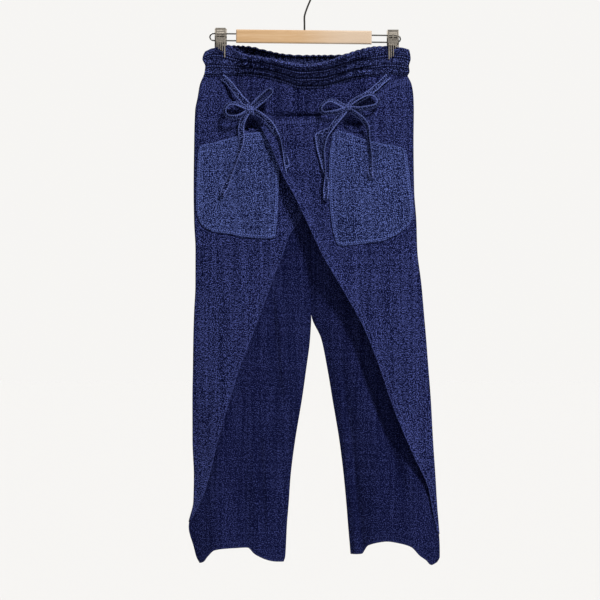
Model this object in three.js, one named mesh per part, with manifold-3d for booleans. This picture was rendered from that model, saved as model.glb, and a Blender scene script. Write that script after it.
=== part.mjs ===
// Wrap-front wide-leg trousers hung from a wooden hanger with two metal clips.
// Millimetres, +Z up. The origin is the inside top of the hanger's hook, and the
// front of the trousers faces -Y. "Left" and "right" are as seen from the front.

import * as THREE from 'three';
import { mergeVertices } from 'three/addons/utils/BufferGeometryUtils.js';
import Module from 'manifold-3d';

const wasm = await Module();
wasm.setup();

// Driving sizes of the cloth
const CLOTH = 1.4;               // one layer of the hand-woven cloth, with its hems
const BAND_CLOTH = 2.4;          // the folded waistband casing
const SEAM_GAP = 0.3;            // clearance between pieces that are sewn together
const WAIST_SEAM_GAP = 0.7;      // the same under the gathered waistband
const LAYER_GAP = 1.7;           // air between a flap and the trouser front under it
const HIP_AIR = 1.0;             // more of it where the flaps leave the waistband seam
const POCKET_GAP = 0.9;          // air between a pocket and its flap
const CROTCH_Z = -608;           // where the two legs part
const CROTCH_RISE = 130;         // height over which the hips close into two legs
const SIDE_ROUNDING = 2.6;       // power of the curve that closes a section at its seams
const GATHERS = 30;              // gathers across each half of the elastic waistband
const GATHER_DEPTH = 2.6;        // how far a gather stands out
const TAPE_WIDTH = 12;
const TAPE_THICKNESS = 1.6;
const KNOT_RADIUS = 7.5;
const KNOT_DEPTH = 5;

// Driving sizes of the hanger
const WIRE_RADIUS = 1.3;
const HOOK_RADIUS = 1.6;
const HOOK_BEND = 18.63;         // radius of the hook's centre line
const BAR = { length: 245, height: 24, thickness: 11, edge: 2, top: -95, tilt: 0.6 };
const RAIL = { top: -102.7, low: -115.2, leftEnd: 163.8, rightEnd: 168.5 };
const CLIP = { x: 155.8, width: 22, sheet: 1.2, spring: 4.65, springLength: 16, pivot: -109, tip: -145 };
const CLIP_CENTRE = 4.2;         // the clips sit this far right of the hook
const CLIP_RISE = 1.7;           // the left clip sits higher and the right one lower

// Sections of the legs from the waistband seam to the hem
const SECTIONS = [
  { z: -178, leftOuter: -182.0, leftInner: 4.0, rightInner: 4.3, rightOuter: 186.0, front: 20, back: 12 },
  { z: -194, leftOuter: -188.6, leftInner: 4.4, rightInner: 4.7, rightOuter: 193.3, front: 20, back: 13 },
  { z: -216, leftOuter: -192.4, leftInner: 5.0, rightInner: 5.3, rightOuter: 196.4, front: 20, back: 14 },
  { z: -241, leftOuter: -197.1, leftInner: 5.7, rightInner: 6.0, rightOuter: 197.1, front: 20, back: 15 },
  { z: -295, leftOuter: -198.9, leftInner: 7.2, rightInner: 7.5, rightOuter: 196.6, front: 20, back: 16 },
  { z: -385, leftOuter: -199.8, leftInner: 9.4, rightInner: 9.7, rightOuter: 197.8, front: 20, back: 17 },
  { z: -440, leftOuter: -199.0, leftInner: 10.8, rightInner: 11.1, rightOuter: 201.7, front: 20, back: 18 },
  { z: -493, leftOuter: -196.5, leftInner: 11.6, rightInner: 11.9, rightOuter: 203.4, front: 20, back: 18 },
  { z: -555, leftOuter: -196.5, leftInner: 12.0, rightInner: 12.3, rightOuter: 210.7, front: 20, back: 18 },
  { z: -608, leftOuter: -198.9, leftInner: 12.2, rightInner: 12.5, rightOuter: 215.3, front: 20, back: 18 },
  { z: -653, leftOuter: -200.2, leftInner: 9.9, rightInner: 30.6, rightOuter: 219.2, front: 20, back: 18 },
  { z: -707, leftOuter: -201.0, leftInner: 3.0, rightInner: 41.6, rightOuter: 223.3, front: 20, back: 18 },
  { z: -763, leftOuter: -201.8, leftInner: -4.9, rightInner: 51.0, rightOuter: 227.6, front: 20, back: 18 },
  { z: -838, leftOuter: -201.6, leftInner: -17.5, rightInner: 63.8, rightOuter: 231.6, front: 21, back: 19 },
  { z: -900, leftOuter: -199.0, leftInner: -25.2, rightInner: 71.5, rightOuter: 235.6, front: 22, back: 20 },
  { z: -947, leftOuter: -200.0, leftInner: -28.5, rightInner: 76.0, rightOuter: 238.4, front: 22, back: 20 },
  { z: -993, leftOuter: -209.2, leftInner: -32.3, rightInner: 79.6, rightOuter: 241.9, front: 23, back: 21 },
  { z: -1029, leftOuter: -200.0, leftInner: -34.0, rightInner: 82.8, rightOuter: 244.3, front: 24, back: 22 },
  { z: -1046, leftOuter: -195.5, leftInner: -35.2, rightInner: 84.5, rightOuter: 244.4, front: 24, back: 22 },
  { z: -1062, leftOuter: -187.0, leftInner: -41.0, rightInner: 88.0, rightOuter: 236.0, front: 24, back: 22 },
];

// Height of the hem from each leg's side seam (0) to its inside seam (1)
const HEM = [
  { along: 0.00, left: -1058.0, right: -1056.0 },
  { along: 0.05, left: -1056.0, right: -1061.0 },
  { along: 0.15, left: -1043.0, right: -1052.0 },
  { along: 0.22, left: -1034.0, right: -1045.0 },
  { along: 0.33, left: -1030.5, right: -1027.0 },
  { along: 0.45, left: -1029.3, right: -1021.0 },
  { along: 0.59, left: -1028.7, right: -1017.7 },
  { along: 0.66, left: -1040.0, right: -1019.0 },
  { along: 0.80, left: -1051.0, right: -1025.5 },
  { along: 0.88, left: -1054.0, right: -1041.0 },
  { along: 1.00, left: -1055.5, right: -1041.8 },
];

// Edges of the elastic waistband across the body; the front half sags lowest
const WAIST = [
  { x: -182, frontTop: -133.0, backTop: -133.0, frontLow: -178.0, backLow: -178.0 },
  { x: -165, frontTop: -124.0, backTop: -124.0, frontLow: -178.0, backLow: -178.0 },
  { x: -150, frontTop: -122.0, backTop: -122.0, frontLow: -177.8, backLow: -177.0 },
  { x: -130, frontTop: -130.0, backTop: -123.0, frontLow: -176.5, backLow: -176.0 },
  { x: -105, frontTop: -142.0, backTop: -125.0, frontLow: -175.5, backLow: -178.0 },
  { x: -71, frontTop: -148.0, backTop: -132.0, frontLow: -180.0, backLow: -184.0 },
  { x: -37, frontTop: -155.0, backTop: -138.5, frontLow: -189.0, backLow: -189.0 },
  { x: -3, frontTop: -159.8, backTop: -140.5, frontLow: -199.4, backLow: -191.5 },
  { x: 31, frontTop: -156.5, backTop: -140.5, frontLow: -199.4, backLow: -191.0 },
  { x: 63, frontTop: -146.0, backTop: -140.0, frontLow: -191.0, backLow: -190.0 },
  { x: 94, frontTop: -134.5, backTop: -131.5, frontLow: -182.0, backLow: -184.0 },
  { x: 130, frontTop: -126.0, backTop: -124.7, frontLow: -177.0, backLow: -178.0 },
  { x: 150, frontTop: -123.8, backTop: -123.8, frontLow: -174.5, backLow: -174.5 },
  { x: 170, frontTop: -124.3, backTop: -124.3, frontLow: -175.5, backLow: -175.5 },
  { x: 188, frontTop: -130.0, backTop: -130.0, frontLow: -178.0, backLow: -178.0 },
];

// Side outline of the waistband, with a puff at each elastic tunnel
const BAND_SIDES = [
  { z: -122, left: -165.0, right: 172.0 },
  { z: -130, left: -177.3, right: 189.0 },
  { z: -147, left: -184.5, right: 192.0 },
  { z: -160, left: -179.5, right: 189.0 },
  { z: -170, left: -180.5, right: 190.0 },
  { z: -178, left: -182.0, right: 186.0 },
];

// Free edges of the two wrap flaps, from the tied corner down to the side seam
const OVER_EDGE = [
  { z: -240, x: -98 }, { z: -289, x: -69.3 }, { z: -325, x: -53.1 }, { z: -363, x: -36.9 },
  { z: -399, x: -17.1 }, { z: -440, x: 2.7 }, { z: -500, x: 30.6 }, { z: -560, x: 65.7 },
  { z: -630, x: 104.8 }, { z: -693, x: 130.5 }, { z: -772, x: 157.5 }, { z: -862, x: 195.3 },
  { z: -923, x: 223.0 }, { z: -957, x: 229.5 }, { z: -1000, x: 238.5 },
];
const UNDER_EDGE = [
  { z: -243, x: 72 }, { z: -340, x: 36.0 }, { z: -439, x: -8.1 }, { z: -468, x: -27.9 },
  { z: -500, x: -38.7 }, { z: -561, x: -62.1 }, { z: -635, x: -89.1 }, { z: -694, x: -112.5 },
  { z: -759, x: -133.2 }, { z: -838, x: -155.7 }, { z: -916, x: -175.5 }, { z: -954, x: -189.9 },
  { z: -978, x: -203.0 },
];

// Top edges of the flaps, from the tied corner (0) to the side seam (1)
const OVER_TOP = [
  { along: 0.00, z: -238.0 }, { along: 0.09, z: -249.8 }, { along: 0.21, z: -256.0 },
  { along: 0.37, z: -253.4 }, { along: 0.47, z: -249.8 }, { along: 0.60, z: -240.8 },
  { along: 0.78, z: -212.0 }, { along: 0.88, z: -190.0 }, { along: 1.00, z: -179.5 },
];
const UNDER_TOP = [
  { along: 0.00, z: -243.0 }, { along: 0.12, z: -256.0 }, { along: 0.40, z: -261.0 },
  { along: 0.56, z: -257.0 }, { along: 0.66, z: -247.0 }, { along: 0.79, z: -224.6 },
  { along: 0.85, z: -206.0 }, { along: 0.88, z: -188.0 }, { along: 1.00, z: -179.5 },
];

// Patch pockets: top and bottom edges across, side edges down
const LEFT_POCKET = {
  across: [
    { along: 0.00, top: -305, low: -433 }, { along: 0.06, top: -302, low: -448 },
    { along: 0.20, top: -298, low: -459 }, { along: 0.43, top: -289, low: -464 },
    { along: 0.60, top: -283, low: -469 }, { along: 0.92, top: -279, low: -472 },
    { along: 1.00, top: -278, low: -470 },
  ],
  down: [
    { along: 0.00, left: -188.5, right: -47 }, { along: 0.10, left: -192, right: -46 },
    { along: 0.60, left: -195, right: -47 }, { along: 0.85, left: -195.5, right: -50 },
    { along: 1.00, left: -192, right: -53 },
  ],
};
const RIGHT_POCKET = {
  across: [
    { along: 0.00, top: -284, low: -482 }, { along: 0.07, top: -278, low: -485 },
    { along: 0.25, top: -285, low: -483 }, { along: 0.42, top: -293, low: -480 },
    { along: 0.60, top: -299, low: -476 }, { along: 0.80, top: -303, low: -464 },
    { along: 0.94, top: -308, low: -449 }, { along: 1.00, top: -313, low: -437 },
  ],
  down: [
    { along: 0.00, left: 50, right: 183 }, { along: 0.30, left: 44, right: 188.5 },
    { along: 0.60, left: 45, right: 193 }, { along: 0.85, left: 50, right: 196.5 },
    { along: 1.00, left: 58, right: 194 },
  ],
};

// Largest folds: a ridge (height above 0) or trough along a line down the cloth
const FRONT_FOLDS = [
  { x: -52, z: -560, toX: -34, toZ: -790, width: 13, height: -5 },
  { x: -26, z: -620, toX: -48, toZ: -1062, width: 11, height: 4 },
  { x: -92, z: -800, toX: -70, toZ: -1062, width: 15, height: 5 },
  { x: -106, z: -900, toX: -108, toZ: -1062, width: 12, height: -4 },
  { x: -160, z: -560, toX: -150, toZ: -1062, width: 20, height: 4 },
  { x: 58, z: -690, toX: 96, toZ: -1062, width: 9, height: 4 },
  { x: 74, z: -720, toX: 112, toZ: -1062, width: 11, height: -5 },
  { x: 128, z: -760, toX: 146, toZ: -1062, width: 17, height: 4 },
  { x: 190, z: -640, toX: 200, toZ: -1062, width: 20, height: 4 },
  { x: -60, z: -196, toX: 60, toZ: -200, width: 16, height: 3 },
  { x: -120, z: -300, toX: -60, toZ: -520, width: 30, height: 2 },
  { x: 130, z: -300, toX: 90, toZ: -560, width: 30, height: 2 },
];
const BACK_FOLDS = [
  { x: -150, z: -210, toX: -128, toZ: -560, width: 22, height: 4 },
  { x: -96, z: -420, toX: -100, toZ: -1062, width: 18, height: 5 },
  { x: -50, z: -640, toX: -66, toZ: -1062, width: 14, height: -4 },
  { x: -168, z: -620, toX: -160, toZ: -1062, width: 16, height: -4 },
  { x: 40, z: -230, toX: 66, toZ: -540, width: 22, height: -4 },
  { x: 100, z: -440, toX: 140, toZ: -1062, width: 18, height: 5 },
  { x: 158, z: -210, toX: 150, toZ: -520, width: 20, height: 4 },
  { x: 186, z: -640, toX: 204, toZ: -1062, width: 15, height: -4 },
];

// Tapes: points of each centre line, with "out" the height above the trouser front
const WAIST_TAPES = [
  { name: 'waist_tape_left', points: [
    { x: -149, z: -180, out: 2.0 }, { x: -140, z: -187, out: 2.6 }, { x: -129, z: -200, out: 4.0 },
    { x: -117, z: -216, out: 8.5 }, { x: -102.4, z: -232.4, out: 12.2 }] },
  { name: 'waist_tape_right', points: [
    { x: 152, z: -178, out: 2.0 }, { x: 140, z: -189, out: 3.6 }, { x: 124, z: -204, out: 7.4 },
    { x: 104, z: -219, out: 8.8 }, { x: 82.2, z: -231.4, out: 9.4 }] },
];
const BOWS = [
  { name: 'bow_left', knot: { x: -98, z: -237.2, out: 14.9 }, loops: [
    { across: [-0.57, 0, 0.82], points: [
      { x: -94, z: -234.5, out: 17.1 }, { x: -78, z: -223, out: 20.6 }, { x: -64, z: -213, out: 21.1 },
      { x: -57, z: -208, out: 18.1 }, { x: -62, z: -211.8, out: 15.1 }, { x: -76, z: -221.6, out: 13.6 },
      { x: -94, z: -234.3, out: 14.1 }] },
    { turn: 60, points: [
      { x: -101, z: -235, out: 17.1 }, { x: -120, z: -227, out: 18.6 }, { x: -135, z: -229, out: 20.1 },
      { x: -143, z: -238, out: 20.6 }, { x: -137, z: -249, out: 20.1 }, { x: -122, z: -249, out: 19.6 },
      { x: -101, z: -239, out: 17.1 }] }] },
  { name: 'bow_right', knot: { x: 76.5, z: -236, out: 11.2 }, loops: [
    { turn: 55, points: [
      { x: 73.5, z: -234.5, out: 13.4 }, { x: 56, z: -225, out: 15.4 }, { x: 40, z: -226, out: 16.4 },
      { x: 29, z: -237, out: 16.9 }, { x: 38, z: -248, out: 16.4 }, { x: 54, z: -246, out: 16.4 },
      { x: 73.5, z: -237.5, out: 13.4 }] },
    { turn: -52, points: [
      { x: 79.5, z: -234.2, out: 13.4 }, { x: 97, z: -221, out: 15.9 }, { x: 116, z: -213, out: 16.9 },
      { x: 131, z: -220, out: 17.4 }, { x: 126, z: -233, out: 17.4 }, { x: 106, z: -240, out: 17.4 },
      { x: 79.5, z: -237.4, out: 13.4 }] }] },
];
const FREE_ENDS = [
  { name: 'tie_end_left_outer', knot: true, points: [
    { x: -101.7, z: -243.5, out: 13.2 }, { x: -109, z: -256, out: 11 }, { x: -113.5, z: -270, out: 9.5 },
    { x: -113.5, z: -298, out: 9.5 }, { x: -121, z: -327, out: 9.5 }, { x: -134, z: -361, out: 10.5 },
    { x: -145, z: -385, out: 11.5 }, { x: -149, z: -395, out: 12 }] },
  { name: 'tie_end_left_inner', knot: false, points: [
    { x: -92.6, z: -242.8, out: 15.2 }, { x: -78, z: -251, out: 14 }, { x: -64, z: -263, out: 12.6 },
    { x: -51, z: -283, out: 11 }, { x: -42, z: -300, out: 11 }, { x: -34, z: -327, out: 11.5 },
    { x: -29, z: -357, out: 12 }] },
  { name: 'tie_end_right_inner', knot: true, points: [
    { x: 72.2, z: -242.0, out: 11.2 }, { x: 62, z: -255, out: 11.2 }, { x: 50, z: -271, out: 12 },
    { x: 39, z: -289, out: 13 }, { x: 34, z: -313, out: 13 }, { x: 35.5, z: -340, out: 12.5 },
    { x: 39, z: -367, out: 12.5 }, { x: 38.5, z: -388, out: 12.5 }, { x: 37, z: -403, out: 12.5 }] },
  { name: 'tie_end_right_outer', knot: true, points: [
    { x: 81.8, z: -241.8, out: 11.2 }, { x: 93, z: -249.5, out: 12 }, { x: 105, z: -259, out: 12.8 },
    { x: 113, z: -273, out: 13 }, { x: 116, z: -298, out: 13 }, { x: 119.5, z: -325, out: 13 },
    { x: 118.5, z: -350, out: 13 }, { x: 121, z: -364, out: 13.5 }] },
];
// Grid sizes of the walls: columns across and rows down
const LEG_GRID = [12, 23];
const CROTCH_ROW = 11 / LEG_GRID[1];
const FLAP_GRID = [13, 22];
const BAND_GRID = [2 * GATHERS, 4];
const POCKET_GRID = [9, 8];
const TAPE_STEPS = { waist: 8, loop: 16, end: 16 };

const clamp = (value, low, high) => Math.min(Math.max(value, low), high);
const mix = (a, b, t) => a + (b - a) * t;

function smooth(from, to, value) {
  const t = clamp((value - from) / (to - from), 0, 1);
  return t * t * (3 - 2 * t);
}

// A smooth curve through one column of a table, with no overshoot between rows
function column(table, key, name) {
  const rows = [...table].sort((a, b) => a[key] - b[key]);
  const at = rows.map((row) => row[key]);
  const value = rows.map((row) => row[name]);
  const slope = at.slice(1).map((next, i) => (value[i + 1] - value[i]) / (next - at[i]));
  const tangent = value.map((_, i) => {
    if (i === 0) return slope[0];
    if (i === value.length - 1) return slope[i - 1];
    if (slope[i - 1] * slope[i] <= 0) return 0;
    return (2 * slope[i - 1] * slope[i]) / (slope[i - 1] + slope[i]);
  });
  return (where) => {
    const w = clamp(where, at[0], at[at.length - 1]);
    let i = 0;
    while (i < at.length - 2 && w > at[i + 1]) i += 1;
    const step = at[i + 1] - at[i];
    const t = (w - at[i]) / step;
    const start = (1 + 2 * t) * (1 - t) ** 2 * value[i] + t * (1 - t) ** 2 * step * tangent[i];
    return start + t * t * (3 - 2 * t) * value[i + 1] + t * t * (t - 1) * step * tangent[i + 1];
  };
}

const seamX = {
  left: { outer: column(SECTIONS, 'z', 'leftOuter'), inner: column(SECTIONS, 'z', 'leftInner') },
  right: { outer: column(SECTIONS, 'z', 'rightOuter'), inner: column(SECTIONS, 'z', 'rightInner') },
};
const depthAt = { front: column(SECTIONS, 'z', 'front'), back: column(SECTIONS, 'z', 'back') };
const hemZ = { left: column(HEM, 'along', 'left'), right: column(HEM, 'along', 'right') };
const bandTop = { front: column(WAIST, 'x', 'frontTop'), back: column(WAIST, 'x', 'backTop') };
const bandLow = { front: column(WAIST, 'x', 'frontLow'), back: column(WAIST, 'x', 'backLow') };
const bandSide = { left: column(BAND_SIDES, 'z', 'left'), right: column(BAND_SIDES, 'z', 'right') };
const folds = { front: FRONT_FOLDS, back: BACK_FOLDS };
const outward = { front: -1, back: 1 };

// Height of one fold at a point of the cloth, faded out at both of its ends
function foldHeight(fold, x, z) {
  const spanX = fold.toX - fold.x;
  const spanZ = fold.toZ - fold.z;
  const span = Math.hypot(spanX, spanZ);
  const along = ((x - fold.x) * spanX + (z - fold.z) * spanZ) / span;
  const aside = ((x - fold.x) * spanZ - (z - fold.z) * spanX) / span;
  const fadeIn = smooth(-0.12 * span, 0.3 * span, along);
  const runsToHem = fold.toZ < -1060;
  const fadeOut = runsToHem ? 1 : 1 - smooth(0.7 * span, 1.12 * span, along);
  return fold.height * fadeIn * fadeOut * Math.exp(-((aside / fold.width) ** 2));
}

// The clips press the front and back of the waistband together
function clipRelease(x, z) {
  const away = Math.min(...[-1, 1].map((side) => Math.abs(x - CLIP_CENTRE - side * CLIP.x)));
  const grip = (1 - smooth(20, 52, away)) * (1 - smooth(-165, -260, z));
  return 1 - grip;
}

// Distance from the mid plane to the inner face of the trouser front or back
function halfDepth(face, x, z) {
  const side = x < mix(seamX.left.inner(z), seamX.right.inner(z), 0.5) ? 'left' : 'right';
  const outer = seamX[side].outer(z);
  const along = clamp((x - outer) / (seamX[side].inner(z) - outer), 0, 1);
  const joined = smooth(CROTCH_Z, CROTCH_Z + CROTCH_RISE, z);
  const legShape = 1 - Math.abs(2 * along - 1) ** SIDE_ROUNDING;
  const hipShape = 1 - (1 - along) ** SIDE_ROUNDING;
  const folded = folds[face].reduce((sum, fold) => sum + foldHeight(fold, x, z), 0);
  return mix(legShape, hipShape, joined) * (depthAt[face](z) + folded) * clipRelease(x, z);
}

// A closed wall between two grids of points that share their columns and rows
function wall(columns, rows, nearPoint, farPoint) {
  const points = [];
  for (const pointAt of [nearPoint, farPoint]) {
    for (let row = 0; row <= rows; row += 1) {
      for (let c = 0; c <= columns; c += 1) points.push(...pointAt(c / columns, row / rows));
    }
  }
  const layer = (columns + 1) * (rows + 1);
  const at = (side, row, c) => side * layer + row * (columns + 1) + c;
  const faces = [];
  const quad = (a, b, c, d) => faces.push(a, b, c, a, c, d);
  for (let row = 0; row < rows; row += 1) {
    for (let c = 0; c < columns; c += 1) {
      quad(at(0, row, c), at(0, row + 1, c), at(0, row + 1, c + 1), at(0, row, c + 1));
      quad(at(1, row, c), at(1, row, c + 1), at(1, row + 1, c + 1), at(1, row + 1, c));
    }
    quad(at(0, row, 0), at(1, row, 0), at(1, row + 1, 0), at(0, row + 1, 0));
    quad(at(0, row, columns), at(0, row + 1, columns), at(1, row + 1, columns), at(1, row, columns));
  }
  for (let c = 0; c < columns; c += 1) {
    quad(at(0, 0, c), at(0, 0, c + 1), at(1, 0, c + 1), at(1, 0, c));
    quad(at(0, rows, c), at(1, rows, c), at(1, rows, c + 1), at(0, rows, c + 1));
  }
  return closedBody(points, faces);
}

// A geometry from points and faces, turned so that its faces point out
function closedBody(points, faces) {
  let volume = 0;
  for (let f = 0; f < faces.length; f += 3) {
    const [a, b, c] = [0, 1, 2].map((k) => new THREE.Vector3().fromArray(points, 3 * faces[f + k]));
    volume += a.dot(b.cross(c));
  }
  if (volume < 0) faces.reverse();
  const geometry = new THREE.BufferGeometry();
  geometry.setAttribute('position', new THREE.Float32BufferAttribute(points, 3));
  geometry.setIndex(faces);
  geometry.computeVertexNormals();
  return geometry;
}

// Solids for joining and cutting, and back
function solid(geometry) {
  const bare = geometry.clone();
  bare.deleteAttribute('normal');
  bare.deleteAttribute('uv');
  const merged = mergeVertices(bare, 1e-4);
  return new wasm.Manifold(new wasm.Mesh({
    numProp: 3,
    vertProperties: new Float32Array(merged.attributes.position.array),
    triVerts: new Uint32Array(merged.index.array),
  }));
}

function fromSolid(body) {
  const mesh = body.getMesh();
  const geometry = new THREE.BufferGeometry();
  geometry.setAttribute('position', new THREE.BufferAttribute(mesh.vertProperties, 3));
  geometry.setIndex(new THREE.BufferAttribute(mesh.triVerts, 1));
  geometry.computeVertexNormals();
  return geometry;
}

// The layers of the front, each as the y of its inner face
const frontInner = (x, z) => -(SEAM_GAP / 2 + halfDepth('front', x, z));
const frontOuter = (x, z) => frontInner(x, z) - CLOTH;

// Air under a flap: a seam's width at the side seam, more towards the middle
function flapAir(side, x, z) {
  const fromSeam = Math.abs(x - seamX[side].outer(z));
  const air = LAYER_GAP + HIP_AIR * smooth(-280, -200, z);
  return mix(air, SEAM_GAP, Math.exp(-fromSeam / 4));
}

const overEdgeX = column(OVER_EDGE, 'z', 'x');
const underEdgeX = column(UNDER_EDGE, 'z', 'x');

// The under flap curls off the leg along its free edge, below where it is covered
function underFlapInner(x, z) {
  const fromEdge = Math.abs(x - underEdgeX(z));
  const curl = 5 * (1 - smooth(-560, -480, z)) * smooth(-975, -860, z);
  const air = flapAir('left', Math.min(x, 0), z);
  return frontOuter(x, z) - air - curl * Math.exp(-((fromEdge / 26) ** 2));
}
const underFlapOuter = (x, z) => underFlapInner(x, z) - CLOTH;

// The over flap also clears the under flap and its pocket, and curls more
function overFlapInner(x, z) {
  const overPocket = (CLOTH + POCKET_GAP) * (1 - smooth(-10, 60, x));
  const overFlap = (CLOTH + LAYER_GAP) * (1 - smooth(95, 180, x));
  const fromEdge = Math.abs(x - overEdgeX(z));
  const curl = 7 * (1 - smooth(-480, -330, z)) * smooth(-995, -860, z);
  const lift = overPocket + overFlap + curl * Math.exp(-((fromEdge / 30) ** 2));
  return frontOuter(x, z) - flapAir('right', Math.max(x, 20), z) - lift;
}
const overFlapOuter = (x, z) => overFlapInner(x, z) - CLOTH;

const denim = { base: 0x1f2547, pocket: 0x333d6b };
function material(color, roughness, metalness) {
  return new THREE.MeshStandardMaterial({ color, roughness, metalness });
}
const indigoCloth = material(denim.base, 0.92, 0);
const pocketCloth = material(denim.pocket, 0.94, 0);
const bandCloth = material(0x232a50, 0.93, 0);
const tapeCloth = material(0x272f58, 0.92, 0);
const wood = material(0xdcb98a, 0.5, 0);
const steel = material(0xa8a39a, 0.32, 1);

const trousers = new THREE.Group();
function add(name, geometry, surface, parent = trousers) {
  const mesh = new THREE.Mesh(geometry, surface);
  mesh.name = name;
  parent.add(mesh);
  return mesh;
}

// One leg panel, front or back, from the waistband seam to the hem
function legPanel(side, face) {
  const place = (extra) => (u, v) => {
    const topX = mix(seamX[side].outer(-178), seamX[side].inner(-178), u);
    const top = bandLow[face](topX) - WAIST_SEAM_GAP;
    const z = v < CROTCH_ROW ? mix(top, CROTCH_Z, v / CROTCH_ROW)
      : mix(CROTCH_Z, hemZ[side](u), (v - CROTCH_ROW) / (1 - CROTCH_ROW));
    const x = mix(seamX[side].outer(z), seamX[side].inner(z), u);
    return [x, outward[face] * (SEAM_GAP / 2 + halfDepth(face, x, z) + extra), z];
  };
  return wall(...LEG_GRID, place(0), place(CLOTH));
}
for (const side of ['left', 'right']) {
  for (const face of ['front', 'back']) add(`${face}_${side}`, legPanel(side, face), indigoCloth);
}

// Half of the elastic waistband, gathered all along and puffed between its stitch lines
function waistband(face) {
  const columns = BAND_GRID[0];
  const place = (extra) => (u, v) => {
    const nominalX = mix(-182, 188, u);
    const z = mix(bandTop[face](nominalX), bandLow[face](nominalX), v);
    const x = mix(bandSide.left(z), bandSide.right(z), u);
    const crest = Math.round(u * columns) % 2;
    const puff = v > 0 && v < 1 && Math.abs(v - 0.5) > 0.1 ? 1 : 0.55;
    const gather = GATHER_DEPTH * crest * puff * clipRelease(x, z) * smooth(0, 0.03, Math.min(u, 1 - u));
    return [x, outward[face] * (SEAM_GAP / 2 + halfDepth(face, x, z) + gather + extra), z];
  };
  return wall(...BAND_GRID, place(0), place(BAND_CLOTH));
}
for (const face of ['front', 'back']) add(`waistband_${face}`, waistband(face), bandCloth);

// A wrap flap between its free edge and the side seam, with its own top edge
function wrapFlap(side, edge, topTable, innerFace) {
  const edgeX = column(edge, 'z', 'x');
  const topZ = column(topTable, 'along', 'z');
  const [first, last] = [edge[0].z, edge[edge.length - 1].z];
  const seamLast = last - 6;
  const place = (extra) => (u, v) => {
    const edgeZ = mix(first, last, v);
    const sideZ = mix(topZ(1), seamLast, v);
    const straightTop = mix(topZ(0), topZ(1), u);
    const z = mix(edgeZ, sideZ, u) + (topZ(u) - straightTop) * (1 - v) ** 3;
    const x = mix(edgeX(edgeZ), seamX[side].outer(sideZ), u);
    return [x, innerFace(x, z) - extra, z];
  };
  return wall(...FLAP_GRID, place(0), place(CLOTH));
}
add('wrap_flap_left', wrapFlap('left', UNDER_EDGE, UNDER_TOP, underFlapInner), indigoCloth);
add('wrap_flap_right', wrapFlap('right', OVER_EDGE, OVER_TOP, overFlapInner), indigoCloth);

// A patch pocket that lies flat on its flap
function patchPocket(table, flapOuter) {
  const top = column(table.across, 'along', 'top');
  const low = column(table.across, 'along', 'low');
  const left = column(table.down, 'along', 'left');
  const right = column(table.down, 'along', 'right');
  const place = (extra) => (u, v) => {
    const x = mix(left(v), right(v), u);
    const z = mix(top(u), low(u), v);
    return [x, flapOuter(x, z) - POCKET_GAP - extra, z];
  };
  return wall(...POCKET_GRID, place(0), place(CLOTH));
}
add('pocket_left', patchPocket(LEFT_POCKET, underFlapOuter), pocketCloth);
add('pocket_right', patchPocket(RIGHT_POCKET, overFlapOuter), pocketCloth);

const onFront = ({ x, z, out }) => new THREE.Vector3(x, frontOuter(x, z) - out, z);

// A flat tape along a curve; a free end may close in a small knot
function ribbon({ points, across, turn = 0, knot = false }, steps) {
  const route = new THREE.CatmullRomCurve3(points.map(onFront), false, 'centripetal');
  const knotWidth = [0.35, 0.75, 0.7, 0.35];
  const knotDepth = [1.6, 5.0, 4.6, 1.6];
  const ringAt = (step) => {
    const centre = route.getPointAt(step / steps);
    const tangent = route.getTangentAt(step / steps);
    const towards = new THREE.Vector3(0, -1, 0);
    const wide = across ? new THREE.Vector3(...across) : new THREE.Vector3().crossVectors(tangent, towards);
    wide.addScaledVector(tangent, -wide.dot(tangent)).normalize();
    const turned = turn * Math.sin((Math.PI * step) / steps);
    wide.applyAxisAngle(tangent, THREE.MathUtils.degToRad(turned));
    const thick = new THREE.Vector3().crossVectors(tangent, wide);
    const inKnot = knot ? step - (steps - knotWidth.length + 1) : -1;
    const halfWidth = 0.5 * TAPE_WIDTH * (inKnot >= 0 ? knotWidth[inKnot] : 1);
    const halfThickness = 0.5 * TAPE_THICKNESS * (inKnot >= 0 ? knotDepth[inKnot] : 1);
    const corners = [[1, 0], [0.8, 1], [-0.8, 1], [-1, 0], [-0.8, -1], [0.8, -1]];
    return corners.map(([w, t]) => centre.clone()
      .addScaledVector(wide, w * halfWidth).addScaledVector(thick, t * halfThickness));
  };
  const rings = Array.from({ length: steps + 1 }, (_, step) => ringAt(step));
  return tubeOfRings(rings);
}

// A closed tube through rings of equal size, with a flat face at each end
function tubeOfRings(rings) {
  const around = rings[0].length;
  const points = rings.flat().flatMap((point) => point.toArray());
  const faces = [];
  for (let r = 0; r < rings.length - 1; r += 1) {
    for (let k = 0; k < around; k += 1) {
      const [a, b] = [r * around + k, r * around + ((k + 1) % around)];
      faces.push(a, b, b + around, a, b + around, a + around);
    }
  }
  const end = (rings.length - 1) * around;
  for (let k = 1; k < around - 1; k += 1) {
    faces.push(0, k + 1, k);
    faces.push(end, end + k, end + k + 1);
  }
  return closedBody(points, faces);
}
for (const tape of WAIST_TAPES) add(tape.name, ribbon(tape, TAPE_STEPS.waist), tapeCloth);
for (const tape of FREE_ENDS) add(tape.name, ribbon(tape, TAPE_STEPS.end), tapeCloth);

// A bow: its knot with the two loops that come out of it
function bow({ knot, loops }) {
  const ball = new THREE.SphereGeometry(1, 10, 7);
  ball.scale(KNOT_RADIUS, KNOT_DEPTH, KNOT_RADIUS);
  ball.translate(...onFront(knot).toArray());
  const parts = loops.map((loop) => solid(ribbon(loop, TAPE_STEPS.loop)));
  return fromSolid(parts.reduce((whole, part) => whole.add(part), solid(ball)));
}
for (const tied of BOWS) add(tied.name, bow(tied), tapeCloth);

// Hanger: wooden bar and, at each end, a wire rail bent back on itself
const hanger = new THREE.Group();
hanger.rotation.y = THREE.MathUtils.degToRad(BAR.tilt);
trousers.add(hanger);

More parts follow.
